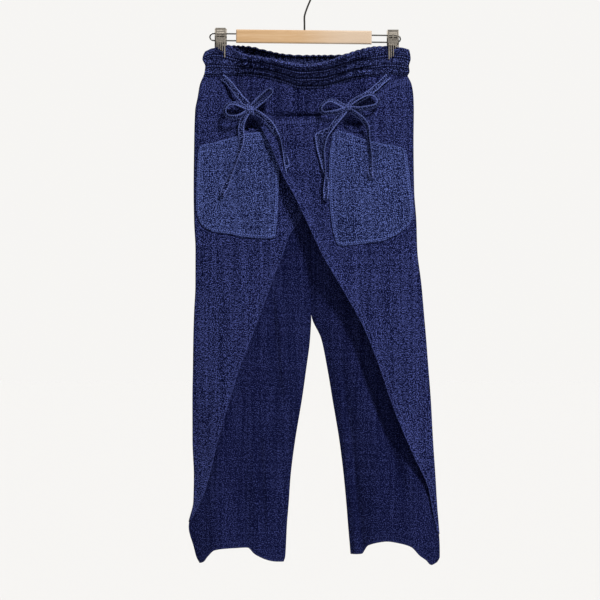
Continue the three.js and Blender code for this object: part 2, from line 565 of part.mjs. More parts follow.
function woodenBar() {
  const outline = new THREE.Shape();
  const halfLength = BAR.length / 2 - BAR.edge;
  const halfHeight = BAR.height / 2 - BAR.edge;
  outline.moveTo(-halfLength, -halfHeight);
  outline.lineTo(halfLength, -halfHeight);
  outline.lineTo(halfLength, halfHeight);
  outline.lineTo(-halfLength, halfHeight);
  const bar = new THREE.ExtrudeGeometry(outline, {
    depth: BAR.thickness - 2 * BAR.edge, steps: 1,
    bevelSize: BAR.edge, bevelThickness: BAR.edge, bevelSegments: 2,
  });
  bar.translate(0, 0, -BAR.thickness / 2 + BAR.edge);
  bar.rotateX(Math.PI / 2);
  bar.translate(0, 0, BAR.top - BAR.height / 2);
  return bar;
}
add('hanger_bar', woodenBar(), wood, hanger);

// Round wire along a route in the plane y = 0
function wire(radius, sides, route, steps) {
  const section = new THREE.Shape();
  section.absarc(0, 0, radius, 0, 2 * Math.PI);
  const curve = new THREE.CatmullRomCurve3(route.map(([x, z]) => new THREE.Vector3(x, 0, z)));
  return new THREE.ExtrudeGeometry(section, { extrudePath: curve, steps, curveSegments: sides / 2 });
}

function arcRoute(centreX, centreZ, radius, fromDegrees, toDegrees, points) {
  return Array.from({ length: points + 1 }, (_, i) => {
    const angle = THREE.MathUtils.degToRad(mix(fromDegrees, toDegrees, i / points));
    return [centreX + radius * Math.cos(angle), centreZ + radius * Math.sin(angle)];
  });
}
for (const [name, side, railEnd] of [['left', -1, RAIL.leftEnd], ['right', 1, RAIL.rightEnd]]) {
  const start = BAR.length / 2 + SEAM_GAP;
  const bend = (RAIL.top - RAIL.low) / 2;
  const turn = arcRoute(railEnd, (RAIL.top + RAIL.low) / 2, bend, 90, -90, 6);
  const route = [[start, RAIL.top], [mix(start, railEnd, 0.5), RAIL.top], ...turn,
    [mix(start, railEnd, 0.5), RAIL.low], [start, RAIL.low]];
  const rail = wire(WIRE_RADIUS, 8, route.map(([x, z]) => [side * x, z]), 26);
  add(`hanger_rail_${name}`, rail, steel, hanger);
}

// Hook: a straight stem, a slanted neck and an arc over the rod it hangs from
const hookCentreZ = HOOK_RADIUS - HOOK_BEND;
const hookRoute = [[0, BAR.top + SEAM_GAP], [0, -82], [0, -70], [4.2, -56],
  ...arcRoute(0, hookCentreZ, HOOK_BEND, -21.4, 198, 12)];
add('hanger_hook', wire(HOOK_RADIUS, 8, hookRoute, 36), steel);

// One jaw of a clip: a bent plate with a comb of teeth at its lower end
function clipJaw() {
  const inside = [[2.95, CLIP.tip], [2.95, -124], [4.0, -116], [CLIP.spring + SEAM_GAP, CLIP.pivot],
    [5.6, -102], [8.6, -93]];
  const outline = new THREE.Shape();
  outline.moveTo(...inside[0]);
  for (const [y, z] of inside.slice(1)) outline.lineTo(y, z);
  for (const [y, z] of [...inside].reverse()) outline.lineTo(y + CLIP.sheet, z);
  const plate = new THREE.ExtrudeGeometry(outline, { depth: CLIP.width, bevelEnabled: false });
  plate.translate(0, 0, -CLIP.width / 2);
  plate.applyMatrix4(new THREE.Matrix4().makeBasis(
    new THREE.Vector3(0, 1, 0), new THREE.Vector3(0, 0, 1), new THREE.Vector3(1, 0, 0)));
  let jaw = solid(plate);
  for (const slotX of [-5.5, 0, 5.5]) {
    const slot = new THREE.BoxGeometry(2.2, 20, 22);
    slot.translate(slotX, 0, CLIP.tip + 6);
    jaw = jaw.subtract(solid(slot));
  }
  return fromSolid(jaw);
}

// The torsion spring between the jaws, drawn as its wound outer form
function clipSpring() {
  const coils = 5;
  const half = CLIP.springLength / 2;
  const profile = [new THREE.Vector2(0, -half)];
  for (let coil = 0; coil < coils; coil += 1) {
    const start = mix(-half, half, coil / coils);
    const pitch = (2 * half) / coils;
    profile.push(new THREE.Vector2(CLIP.spring - 0.6, start + 0.02 * pitch));
    profile.push(new THREE.Vector2(CLIP.spring, start + 0.5 * pitch));
  }
  profile.push(new THREE.Vector2(CLIP.spring - 0.6, half));
  profile.push(new THREE.Vector2(0, half));
  const spring = new THREE.LatheGeometry(profile, 12);
  spring.rotateZ(Math.PI / 2);
  spring.translate(0, 0, CLIP.pivot);
  return spring;
}

for (const [name, side] of [['left', -1], ['right', 1]]) {
  const clip = new THREE.Group();
  clip.position.set(CLIP_CENTRE + side * CLIP.x, 0, -side * CLIP_RISE);
  trousers.add(clip);
  add(`clip_jaw_back_${name}`, clipJaw(), steel, clip);
  add(`clip_jaw_front_${name}`, clipJaw(), steel, clip).rotation.z = Math.PI;
  add(`clip_spring_${name}`, clipSpring(), steel, clip);
}

export default trousers;
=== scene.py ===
# Wrap-front wide-leg trousers on a wooden clip hanger: their cloth, finishes and light.
# The garment's own sizes are in millimetres, as its pattern is; the scene is in metres.
import math

import bmesh
import bpy
import numpy as np
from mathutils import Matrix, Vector


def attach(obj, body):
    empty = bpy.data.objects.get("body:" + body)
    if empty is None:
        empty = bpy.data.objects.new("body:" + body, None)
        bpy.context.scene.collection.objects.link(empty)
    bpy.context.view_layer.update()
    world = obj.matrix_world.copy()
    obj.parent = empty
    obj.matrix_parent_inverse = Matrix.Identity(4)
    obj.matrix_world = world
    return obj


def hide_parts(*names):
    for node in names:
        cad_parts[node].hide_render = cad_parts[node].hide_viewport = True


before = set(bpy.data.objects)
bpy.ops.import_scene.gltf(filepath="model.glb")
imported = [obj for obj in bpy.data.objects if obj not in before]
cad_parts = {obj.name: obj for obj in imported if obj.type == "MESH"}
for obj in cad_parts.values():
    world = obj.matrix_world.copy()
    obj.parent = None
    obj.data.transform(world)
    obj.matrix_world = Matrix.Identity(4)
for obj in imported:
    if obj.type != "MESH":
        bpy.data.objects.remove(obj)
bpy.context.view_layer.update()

MM = 0.001

# Camera: level, straight on, framing the cloth's front as the photo does
VIEW_DISTANCE = 5.0
FILM_WIDTH = 36
PICTURE_WIDTH = 1.080
CLOTH_FRONT = 0.024
PICTURE_CENTRE = (-0.0081, -0.5828)

# Cloth thicknesses, and the gaps between one layer and the next
CLOTH = 1.4
BAND_CLOTH = 2.4
SEAM_GAP = 0.3
WAIST_SEAM_GAP = 0.7
LAYER_GAP = 1.7
POCKET_GAP = 0.9
HIP_AIR = 1.0            # more air under a flap at the hips

# The tube of the legs and seat
CROTCH_Z = -608
CROTCH_RISE = 130
SIDE_ROUNDING = 2.6
LEG_TOP = -178.0
HEM_FOLDS = -1060        # a fold that runs down to here doesn't fade at the hem
TUCK = 3.0               # the panels' top edges reach this far up inside the waistband
TUCK_IN = 2.0            # and this far inwards

# Sewing: turned hems, their stitches, and the dip along a seam
HEM = 9.0
LEG_HEM_WIDTH = 11
POCKET_HEM = 13
STITCH_INSET = 1.2       # a hem's stitches lie this far inside its fold
POCKET_STITCH = 4.4
POCKET_HEM_MARK = 4.2    # the mark that the stitches of a pocket's deep top hem carry
TAPE_STITCH = 1.4
SEAM_DIP = 0.8
SEAM_DIP_WIDTH = 1.6
FLAP_TAIL = 6            # the side seam holds the flap this far below its free edge's end
EDGE_SLANT = 0.91        # from a distance across the flap to one square to its slanting edge
EDGE_STAND = 6.5         # how far the over flap's free edge stands up, twice on its way down
WORN_LIT_RIM = 3.0           # a top edge's pale rim, worn and a painted highlight, ends here, and its stitches lie below

# Elastic waistband
BAND_LEFT, BAND_RIGHT = -182.0, 188.0
GATHERS = 30
TUNNELS = 3
GATHER_DEPTH = 2.6
TUNNEL_STITCH = 20.0     # the tunnels' stitch lines carry this mark, clear of the rim's
BAND_RIM = 3.5           # the casing's top rim, worn and painted pale as a highlight

# Tapes, and the small knots at their ends
TAPE_WIDTH = 12
TAPE_THICKNESS = 1.6
END_KNOT_THICK = 7.6
END_KNOT_MIDDLE = 6.5
END_KNOT_REACH = 4.6
END_TIP = 3.0
KNOT_DEPTH = 5.6         # half the depth of a bow's knot
WELD = 0.00002           # points this near each other are joined, in metres

# Clips
CLIP_X = 155.8
CLIP_CENTRE = 4.2
CLIP_RISE = 1.7
CLIP_GRIP = (20, 52)     # from fully pressed together to fully free, away from a clip
CLIP_GRIP_Z = (-165, -260)    # the same down the cloth

# Grid of each kind of panel, across and down: length, cell, and the ends that are sewn finely
PANELS = {
    "leg": ((205, 3.6, "start", "end"), (880, 3.8, "end")),
    "flap": ((250, 3.6, "start"), (740, 3.8, "start")),
    "pocket": ((148, 3.0, "start", "end"), (175, 3.0, "start", "end")),
}
BAND_CELLS = (300, 36)
TAPE_SIDES = 20
TAPE_STEPS = {"waist": 50, "loop": 110, "end": 120}
ROUTE_STEPS = 24


def table(columns, *rows):
    """A short table with named columns."""
    values = np.array(rows, float)
    return {name: values[:, i] for i, name in enumerate(columns.split())}


# Side and inside seams of both legs across the body, and the depth of front and back
SECTIONS = table(
    "z left_outer left_inner right_inner right_outer front back",
    (-178, -182.0, 4.0, 4.3, 186.0, 20, 12),
    (-194, -188.6, 4.4, 4.7, 193.3, 20, 13),
    (-216, -192.4, 5.0, 5.3, 196.4, 20, 14),
    (-241, -197.1, 5.7, 6.0, 197.1, 20, 15),
    (-295, -198.9, 7.2, 7.5, 196.6, 20, 16),
    (-385, -199.8, 9.4, 9.7, 197.8, 20, 17),
    (-440, -199.0, 10.8, 11.1, 201.7, 20, 18),
    (-493, -196.5, 11.6, 11.9, 203.4, 20, 18),
    (-555, -196.5, 12.0, 12.3, 210.7, 20, 18),
    (-608, -198.9, 12.2, 12.5, 215.3, 20, 18),
    (-653, -200.2, 9.9, 30.6, 219.2, 20, 18),
    (-707, -201.0, 3.0, 41.6, 223.3, 20, 18),
    (-763, -201.8, -4.9, 51.0, 227.6, 20, 18),
    (-838, -201.6, -17.5, 63.8, 231.6, 21, 19),
    (-900, -199.0, -25.2, 71.5, 235.6, 22, 20),
    (-947, -200.0, -28.5, 76.0, 238.4, 22, 20),
    (-993, -209.2, -32.3, 79.6, 241.9, 23, 21),
    (-1029, -200.0, -34.0, 82.8, 244.3, 24, 22),
    (-1046, -195.5, -35.2, 84.5, 244.4, 24, 22),
    (-1062, -187.0, -41.0, 88.0, 236.0, 24, 22),
)

# Height of the hem from each leg's side seam (0) to its inside seam (1)
LEG_HEM = table(
    "along left right",
    (0.00, -1058.0, -1056.0), (0.05, -1056.0, -1061.0), (0.15, -1043.0, -1052.0),
    (0.22, -1034.0, -1045.0), (0.33, -1030.5, -1027.0), (0.45, -1029.3, -1021.0),
    (0.59, -1028.7, -1017.7), (0.66, -1040.0, -1019.0), (0.80, -1051.0, -1025.5),
    (0.88, -1054.0, -1041.0), (1.00, -1055.5, -1041.8),
)

# Edges of the elastic waistband across the body; the front half sags lowest
WAIST = table(
    "x front_top back_top front_low back_low",
    (-182, -133.0, -133.0, -178.0, -178.0), (-165, -124.0, -124.0, -178.0, -178.0),
    (-150, -122.0, -122.0, -177.8, -177.0), (-130, -130.0, -123.0, -176.5, -176.0),
    (-105, -142.0, -125.0, -175.5, -178.0), (-71, -148.0, -132.0, -180.0, -184.0),
    (-37, -155.0, -138.5, -189.0, -189.0), (-3, -159.8, -140.5, -199.4, -191.5),
    (31, -156.5, -140.5, -199.4, -191.0), (63, -146.0, -140.0, -191.0, -190.0),
    (94, -134.5, -131.5, -182.0, -184.0), (130, -126.0, -124.7, -177.0, -178.0),
    (150, -123.8, -123.8, -174.5, -174.5), (170, -124.3, -124.3, -175.5, -175.5),
    (188, -130.0, -130.0, -178.0, -178.0),
)
BAND_SIDES = table(
    "z left right",
    (-122, -165.0, 172.0), (-130, -177.3, 189.0), (-147, -184.5, 192.0),
    (-160, -179.5, 189.0), (-170, -180.5, 190.0), (-178, -182.0, 186.0),
)

# Free edges of the two wrap flaps, from the tied corner down to the side seam
OVER_EDGE = table(
    "z x",
    (-240, -98), (-289, -69.3), (-325, -53.1), (-363, -36.9), (-399, -17.1), (-440, 2.7),
    (-500, 30.6), (-560, 65.7), (-630, 104.8), (-693, 130.5), (-772, 157.5), (-862, 195.3),
    (-923, 223.0), (-957, 229.5), (-1000, 238.5),
)
UNDER_EDGE = table(
    "z x",
    (-243, 72), (-340, 36.0), (-439, -8.1), (-468, -27.9), (-500, -38.7), (-561, -62.1),
    (-635, -89.1), (-694, -112.5), (-759, -133.2), (-838, -155.7), (-916, -175.5),
    (-954, -189.9), (-978, -203.0),
)

# Top edges of the flaps, from the tied corner (0) to the side seam (1)
OVER_TOP = table(
    "along z",
    (0.00, -238.0), (0.09, -249.8), (0.21, -256.0), (0.37, -253.4), (0.47, -249.8),
    (0.60, -240.8), (0.78, -212.0), (0.88, -190.0), (1.00, -179.5),
)
UNDER_TOP = table(
    "along z",
    (0.00, -243.0), (0.12, -256.0), (0.40, -261.0), (0.56, -257.0), (0.66, -247.0),
    (0.79, -224.6), (0.85, -206.0), (0.88, -188.0), (1.00, -179.5),
)

# Patch pockets: top and bottom edges across, side edges down
LEFT_POCKET = (
    table(
        "along top low",
        (0.00, -305, -433), (0.06, -302, -448), (0.20, -298, -459), (0.43, -289, -464),
        (0.60, -283, -469), (0.92, -279, -472), (1.00, -278, -470),
    ),
    table(
        "along left right",
        (0.00, -188.5, -47), (0.10, -192, -46), (0.60, -195, -47), (0.85, -195.5, -50),
        (1.00, -192, -53),
    ),
)
RIGHT_POCKET = (
    table(
        "along top low",
        (0.00, -284, -482), (0.07, -278, -485), (0.25, -285, -483), (0.42, -293, -480),
        (0.60, -299, -476), (0.80, -303, -464), (0.94, -308, -449), (1.00, -313, -437),
    ),
    table(
        "along left right",
        (0.00, 50, 183), (0.30, 44, 188.5), (0.60, 45, 193), (0.85, 50, 196.5),
        (1.00, 58, 194),
    ),
)

# Folds: a ridge (height above 0) or trough along a line down the cloth
FOLD_COLUMNS = "x z to_x to_z width height"
FRONT_FOLDS = table(
    FOLD_COLUMNS,
    (-52, -560, -34, -790, 13, -5), (-26, -620, -48, -1062, 11, 4),
    (-92, -800, -70, -1062, 15, 5), (-106, -900, -108, -1062, 12, -4),
    (-160, -560, -150, -1062, 20, 4), (58, -690, 96, -1062, 9, 4),
    (74, -720, 112, -1062, 11, -5), (128, -760, 146, -1062, 17, 4),
    (190, -640, 200, -1062, 20, 4), (-60, -196, 60, -200, 16, 3),
    (-120, -300, -60, -520, 30, 2), (130, -300, 90, -560, 30, 2),
    (-50, -555, -33, -765, 6, 12), (-80, -815, -72, -1030, 6, -10),
    (-122, -520, -140, -760, 16, 2.5), (150, -520, 168, -800, 18, 2.5),
    (-62, -252, 46, -249, 2.6, -8), (12, -490, 14, -660, 7, -3),
    (52, -690, 92, -1062, 7, 8), (66, -690, 108, -1062, 6, -9),
    (-150, -840, -172, -1040, 10, 3), (150, -860, 140, -1040, 12, -3.5),
    (92, -650, 190, -960, 13, -9), (-20, -660, -46, -1062, 8, 4),
)
BACK_FOLDS = table(
    FOLD_COLUMNS,
    (-150, -210, -128, -560, 22, 4), (-96, -420, -100, -1062, 18, 5),
    (-50, -640, -66, -1062, 14, -4), (-168, -620, -160, -1062, 16, -4),
    (40, -230, 66, -540, 22, -4), (100, -440, 140, -1062, 18, 5),
    (158, -210, 150, -520, 20, 4), (186, -640, 204, -1062, 15, -4),
)

# Hollows that the two knots press into the front cloth; the tapes pass over them
KNOT_HOLLOWS = table(
    FOLD_COLUMNS,
    (68, -262, 106, -266, 14, -27), (-116, -262, -78, -266, 13, -26),
)

# Tapes: points of each centre line, with out the height above the trouser front
TAPE_COLUMNS = "x z out"
WAIST_TAPES = {
    "left": table(
        TAPE_COLUMNS,
        (-149, -180, 2.0), (-140, -187, 6.0), (-129, -200, 12.0), (-117, -216, 15.0),
        (-102.4, -232.4, 14.5),
    ),
    "right": table(
        TAPE_COLUMNS,
        (152, -178, 2.0), (140, -189, 5.5), (124, -204, 10.0), (104, -219, 12.5),
        (82.2, -231.4, 12.5),
    ),
}
# The two bows' knots: middle, half length, half width and lean in degrees
KNOTS = {
    "left": {"at": (-97, -240.5, 15.6), "long": 13.0, "wide": 6.6, "lean": -49},
    "right": {"at": (78.5, -236.5, 14.5), "long": 8.6, "wide": 6.2, "lean": 62},
}
# Each loop: how far it stands on its edge, in degrees, and its centre line
LOOPS = {
    "left": [
        (68, table(
            TAPE_COLUMNS,
            (-95, -235, 17.5), (-83, -222.5, 19.0), (-72, -212, 20.0), (-63, -205.5, 20.5),
            (-58.5, -209, 20.0), (-63, -215.5, 19.0), (-74, -224.5, 18.0), (-92, -238.5, 16.0),
        )),
        (62, table(
            TAPE_COLUMNS,
            (-100, -238.5, 17.5), (-113, -233, 19.5), (-125, -229, 20.5), (-137, -231, 21.0),
            (-143.5, -240, 21.0), (-141, -250, 20.5), (-131, -254.5, 20.0), (-119, -253.5, 19.0),
            (-103, -245.5, 17.0),
        )),
    ],
    "right": [
        (62, table(
            TAPE_COLUMNS,
            (75, -236, 16.5), (66, -232, 17.5), (56, -226.5, 18.5), (45, -224.5, 19.5),
            (34, -230, 20.0), (28.5, -240, 20.0), (34, -247, 19.5), (47, -247, 19.5),
            (60, -244.5, 18.0), (75, -239, 16.5),
        )),
        (-60, table(
            TAPE_COLUMNS,
            (80, -232, 16.5), (90, -224, 18.0), (102, -217, 19.5), (117, -212.5, 20.5),
            (129, -217, 21.0), (133.5, -226, 21.0), (128.5, -233, 20.5), (117, -237, 20.0),
            (101, -239.5, 18.5), (82, -239, 16.5),
        )),
    ],
}
# Each free end: whether it ends in a small knot, and its centre line
FREE_ENDS = {
    "left_outer": (True, table(
        TAPE_COLUMNS,
        (-101.7, -243.5, 14.2), (-109, -256, 17), (-113.5, -270, 13), (-113.5, -298, 10.5),
        (-121, -327, 9.5), (-134, -361, 10.5), (-145, -385, 11.5), (-149, -395, 12),
    )),
    "left_inner": (False, table(
        TAPE_COLUMNS,
        (-92.6, -242.8, 16.2), (-78, -251, 17), (-64, -263, 14.5), (-51, -283, 12),
        (-42, -300, 11), (-34, -327, 11.5), (-29, -357, 12),
    )),
    "right_inner": (True, table(
        TAPE_COLUMNS,
        (72.2, -242.0, 13.5), (62, -255, 14), (50, -271, 14), (39, -289, 13.5),
        (34, -313, 13), (35.5, -340, 12.5), (39, -367, 12.5), (38.5, -388, 12.5),
        (37, -403, 12.5),
    )),
    "right_outer": (True, table(
        TAPE_COLUMNS,
        (81.8, -241.8, 14), (93, -249.5, 20), (105, -259, 19), (113, -273, 15),
        (116, -298, 13), (119.5, -325, 13), (118.5, -350, 13), (121, -364, 13.5),
    )),
}

# How far each free end has turned about its own line, from flat on the front
TWIST_COLUMNS = "along degrees"
TWISTS = {
    "left_outer": table(
        TWIST_COLUMNS, (0, 38), (0.2, 15), (0.45, 42), (0.62, 66), (0.78, 52), (0.92, 12), (1, 5),
    ),
    "left_inner": table(
        TWIST_COLUMNS,
        (0, 50), (0.15, 34), (0.38, 24), (0.55, 80), (0.66, 112), (0.84, 145), (1, 130),
    ),
    "right_inner": table(
        TWIST_COLUMNS, (0, 18), (0.2, 34), (0.36, 58), (0.55, 66), (0.7, 84), (0.8, 130), (1, 165),
    ),
    "right_outer": table(
        TWIST_COLUMNS, (0, 55), (0.2, 46), (0.4, 62), (0.6, 70), (0.8, 55), (0.93, 15), (1, 8),
    ),
}

# Where the right inner end is folded over on itself: its outer corner down to the crossing,
# and how far it stands out from the trouser front
TAPE_FOLD = table(
    "z left right",
    (-270, 49, 56), (-287, 18.5, 46), (-306, 20.8, 39), (-333, 27.6, 37.5), (-350, 32.5, 39),
    (-366, 41.5, 44),
)
TAPE_FOLD_OUT = 10.2


def mix(a, b, t):
    return a + (b - a) * t


def smooth(start, end, value):
    """0 up to start, then softly up to 1 at end."""
    t = np.clip((value - start) / (end - start), 0, 1)
    return t * t * (3 - 2 * t)


def column(rows, key, name):
    """A smooth curve through one column of a table, with no overshoot between rows."""
    order = np.argsort(rows[key])
    at, value = rows[key][order], rows[name][order]
    slope = np.diff(value) / np.diff(at)
    tangent = np.zeros(len(at))
    tangent[0], tangent[-1] = slope[0], slope[-1]
    for i in range(1, len(at) - 1):
        before, after = slope[i - 1], slope[i]
        if before * after > 0:
            tangent[i] = 2 * before * after / (before + after)

    def curve(where):
        w = np.clip(where, at[0], at[-1])
        i = np.clip(np.searchsorted(at, w, side="right") - 1, 0, len(at) - 2)
        step = at[i + 1] - at[i]
        t = (w - at[i]) / step
        start = (1 + 2 * t) * (1 - t) ** 2 * value[i] + t * (1 - t) ** 2 * step * tangent[i]
        return start + t * t * (3 - 2 * t) * value[i + 1] + t * t * (t - 1) * step * tangent[i + 1]

    return curve


SEAM_X = {
    side: {edge: column(SECTIONS, "z", f"{side}_{edge}") for edge in ("outer", "inner")}
    for side in ("left", "right")
}
DEPTH = {face: column(SECTIONS, "z", face) for face in ("front", "back")}
HEM_Z = {side: column(LEG_HEM, "along", side) for side in ("left", "right")}
BAND_TOP = {face: column(WAIST, "x", f"{face}_top") for face in ("front", "back")}
BAND_LOW = {face: column(WAIST, "x", f"{face}_low") for face in ("front", "back")}
BAND_SIDE = {side: column(BAND_SIDES, "z", side) for side in ("left", "right")}
FOLDS = {"front": FRONT_FOLDS, "back": BACK_FOLDS}
OUTWARD = {"front": -1, "back": 1}
over_edge_x = column(OVER_EDGE, "z", "x")
under_edge_x = column(UNDER_EDGE, "z", "x")

CRINKLE_GRID = 97
crinkle_seed = np.random.default_rng(11).random((CRINKLE_GRID, CRINKLE_GRID))


def crinkle(x, z, across, along, place):
    """Soft unevenness of hand-woven cloth, from -1 to 1, at a given size across and along.

    place is a number that picks a patch of its own."""
    gx = x / across + 13.7 * place
    gz = z / along + 29.3 * place
    ix, iz = np.floor(gx).astype(int), np.floor(gz).astype(int)
    tx, tz = gx - ix, gz - iz
    tx, tz = tx * tx * (3 - 2 * tx), tz * tz * (3 - 2 * tz)

    def at(dx, dz):
        return crinkle_seed[(ix + dx) % CRINKLE_GRID, (iz + dz) % CRINKLE_GRID]

    low = mix(at(0, 0), at(1, 0), tx)
    high = mix(at(0, 1), at(1, 1), tx)
    return 2 * mix(low, high, tz) - 1


def fold_height(rows, x, z):
    """Height of all folds of a table at points of the cloth, each faded at its ends."""
    total = np.zeros_like(x)
    for fx, fz, to_x, to_z, width, height in zip(*(rows[c] for c in FOLD_COLUMNS.split())):
        span_x, span_z = to_x - fx, to_z - fz
        span = math.hypot(span_x, span_z)
        along = ((x - fx) * span_x + (z - fz) * span_z) / span
        aside = ((x - fx) * span_z - (z - fz) * span_x) / span
        fade = smooth(-0.12 * span, 0.3 * span, along)
        if to_z > HEM_FOLDS:
            fade = fade * (1 - smooth(0.7 * span, 1.12 * span, along))
        total = total + height * fade * np.exp(-((aside / width) ** 2))
    return total


def clip_release(x, z):
    """The clips press the front and back of the waistband together."""
    away = np.minimum(np.abs(x - CLIP_CENTRE - CLIP_X), np.abs(x - CLIP_CENTRE + CLIP_X))
    return 1 - (1 - smooth(*CLIP_GRIP, away)) * (1 - smooth(*CLIP_GRIP_Z, z))


def gather_wave(u):
    """Gathers of the elastic waistband, 0 in a valley and 1 on a crest, a little uneven."""
    drift = 0.32 * np.sin(9.1 * u) + 0.2 * np.sin(31.7 * u + 1.3)
    inside = smooth(0, 0.1, np.minimum(u, 1 - u))
    return 0.5 - 0.5 * np.cos(2 * math.pi * (GATHERS * u + drift * inside))


def half_depth(face, x, z, worn=1.0):
    """Distance from the mid plane to the inner face of the trouser front or back.

    worn is how much of the fine unevenness counts."""
    left = x < mix(SEAM_X["left"]["inner"](z), SEAM_X["right"]["inner"](z), 0.5)
    outer = np.where(left, SEAM_X["left"]["outer"](z), SEAM_X["right"]["outer"](z))
    inner = np.where(left, SEAM_X["left"]["inner"](z), SEAM_X["right"]["inner"](z))
    along = np.clip((x - outer) / (inner - outer), 0, 1)
    joined = smooth(CROTCH_Z, CROTCH_Z + CROTCH_RISE, z)
    leg_shape = 1 - np.abs(2 * along - 1) ** SIDE_ROUNDING
    hip_shape = 1 - (1 - along) ** SIDE_ROUNDING
    folded = fold_height(FOLDS[face], x, z)
    soft = 0.9 * crinkle(x, z, 34, 90, 1) + 0.45 * crinkle(x, z, 15, 38, 2)
    if face == "front":
        soft = soft + fold_height(KNOT_HOLLOWS, x, z)
    below_band = np.maximum(BAND_LOW[face](x) - z, 0)
    gathered = gather_wave((x - BAND_LEFT) / (BAND_RIGHT - BAND_LEFT))
    pucker = 1.1 * (gathered - 0.5) * np.exp(-below_band / 26)
    shape = mix(leg_shape, hip_shape, joined)
    fine = worn * (soft + pucker) * np.minimum(1, 3 * shape)
    return (shape * (DEPTH[face](z) + folded) + fine) * clip_release(x, z)


def front_inner(x, z):
    return -(SEAM_GAP / 2 + half_depth("front", x, z))


def front_outer(x, z):
    return front_inner(x, z) - CLOTH


def flap_air(side, x, z):
    """Air under a flap: a seam's width at the side seam, more towards the middle."""
    from_seam = np.abs(x - SEAM_X[side]["outer"](z))
    air = LAYER_GAP + HIP_AIR * smooth(-280, -200, z)
    return mix(air, SEAM_GAP, np.exp(-from_seam / 4))


def under_flap_inner(x, z):
    from_edge = np.abs(x - under_edge_x(z))
    curl = 5 * (1 - smooth(-560, -480, z)) * smooth(-975, -860, z)
    air = flap_air("left", np.minimum(x, 0), z)
    return front_outer(x, z) - air - curl * np.exp(-((from_edge / 26) ** 2))


def under_flap_outer(x, z):
    return under_flap_inner(x, z) - CLOTH


def over_flap_inner(x, z):
    """The over flap clears the left pocket and the under flap, and its free edge stands up."""
    over_pocket = (CLOTH + POCKET_GAP) * (1 - smooth(-10, 60, x))
    over_flap = (CLOTH + LAYER_GAP) * (1 - smooth(95, 180, x))
    from_edge = np.abs(x - over_edge_x(z))
    curl = 7 * (1 - smooth(-480, -330, z)) * smooth(-995, -860, z)
    upright = EDGE_STAND * smooth(-262, -305, z) + EDGE_STAND * smooth(-335, -385, z)
    raised = upright * smooth(-960, -760, z) * np.exp(-((from_edge / 12) ** 2))
    lift = over_pocket + over_flap + curl * np.exp(-((from_edge / 30) ** 2)) + raised
    return front_outer(x, z) - flap_air("right", np.maximum(x, 20), z) - lift


def over_flap_outer(x, z):
    return over_flap_inner(x, z) - CLOTH


def hem_relief(distance, width=HEM):
    """A turned hem stands a little proud and dips where it is stitched."""
    raised = 0.55 * (1 - smooth(width, width + 1.6, distance))
    stitched = 0.5 * np.exp(-(((distance - width + STITCH_INSET) / 0.9) ** 2))
    return raised - stitched


def spaced(length, cell, *close):
    """Grid lines over a length in mm: about a cell apart, closer over a hem at the given ends."""
    lines = list(np.linspace(0, length, round(length / cell) + 1))
    hem = [0, 1.2, 2.6, 4.4, 6.2, 7.2, 7.8, 8.6, 9.4, 10.4, 12.0]
    past = hem[-1] + 1
    if "start" in close:
        lines = hem + [line for line in lines if line > past]
    if "end" in close:
        lines = [line for line in lines if line < length - past]
        lines += [length - h for h in reversed(hem)]
    return np.array(lines) / length


# Making sheets and tapes
def rides(piece, node_name):
    """Everything rides on the one body, and each piece stands for one node."""
    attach(piece, "root")
    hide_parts(node_name)


def new_object(name, mesh, finish):
    mesh.materials.append(finish)
    piece = bpy.data.objects.new(name, mesh)
    bpy.context.scene.collection.objects.link(piece)
    return piece


def cloth_layer(name, us, vs, place, thickness, finish, outward, shift):
    """A sheet from a grid whose points are placed by a function, then given its thickness.

    place gives x, y, z, the distance from a stitched edge and the way along it, in mm. shift
    moves the weave, so that no two pieces show the same stretch of cloth."""
    sheet = bmesh.new()
    bmesh.ops.create_grid(sheet, x_segments=len(us) - 1, y_segments=len(vs) - 1, size=0.5)
    flat = np.array([vert.co[:2] for vert in sheet.verts]) + 0.5
    u = np.interp(flat[:, 0] * (len(us) - 1), np.arange(len(us)), us)
    v = np.interp(flat[:, 1] * (len(vs) - 1), np.arange(len(vs)), vs)
    x, y, z, from_edge, along = place(u, v)
    for vert, point in zip(sheet.verts, np.column_stack([x, y, z]) * MM):
        vert.co = point
    sheet.normal_update()
    if sum(face.normal.y for face in sheet.faces) * outward < 0:
        bmesh.ops.reverse_faces(sheet, faces=sheet.faces)
    mesh = bpy.data.meshes.new(name)
    sheet.to_mesh(mesh)
    sheet.free()
    mesh.shade_smooth()
    corner = np.empty(len(mesh.loops), dtype=np.int32)
    mesh.loops.foreach_get("vertex_index", corner)
    weave = np.column_stack([x * MM + shift, z * MM + 0.37 * shift])[corner]
    mesh.uv_layers.new(name="weave").data.foreach_set("uv", weave.ravel())
    for attribute, values in (("stitch_line", from_edge), ("stitch_run", along)):
        mesh.attributes.new(attribute, "FLOAT", "POINT").data.foreach_set(
            "value", values.astype(np.float32)
        )
    piece = new_object(name, mesh, finish)
    body = piece.modifiers.new("cloth thickness", "SOLIDIFY")
    body.thickness = thickness * MM
    body.offset = 1
    return piece


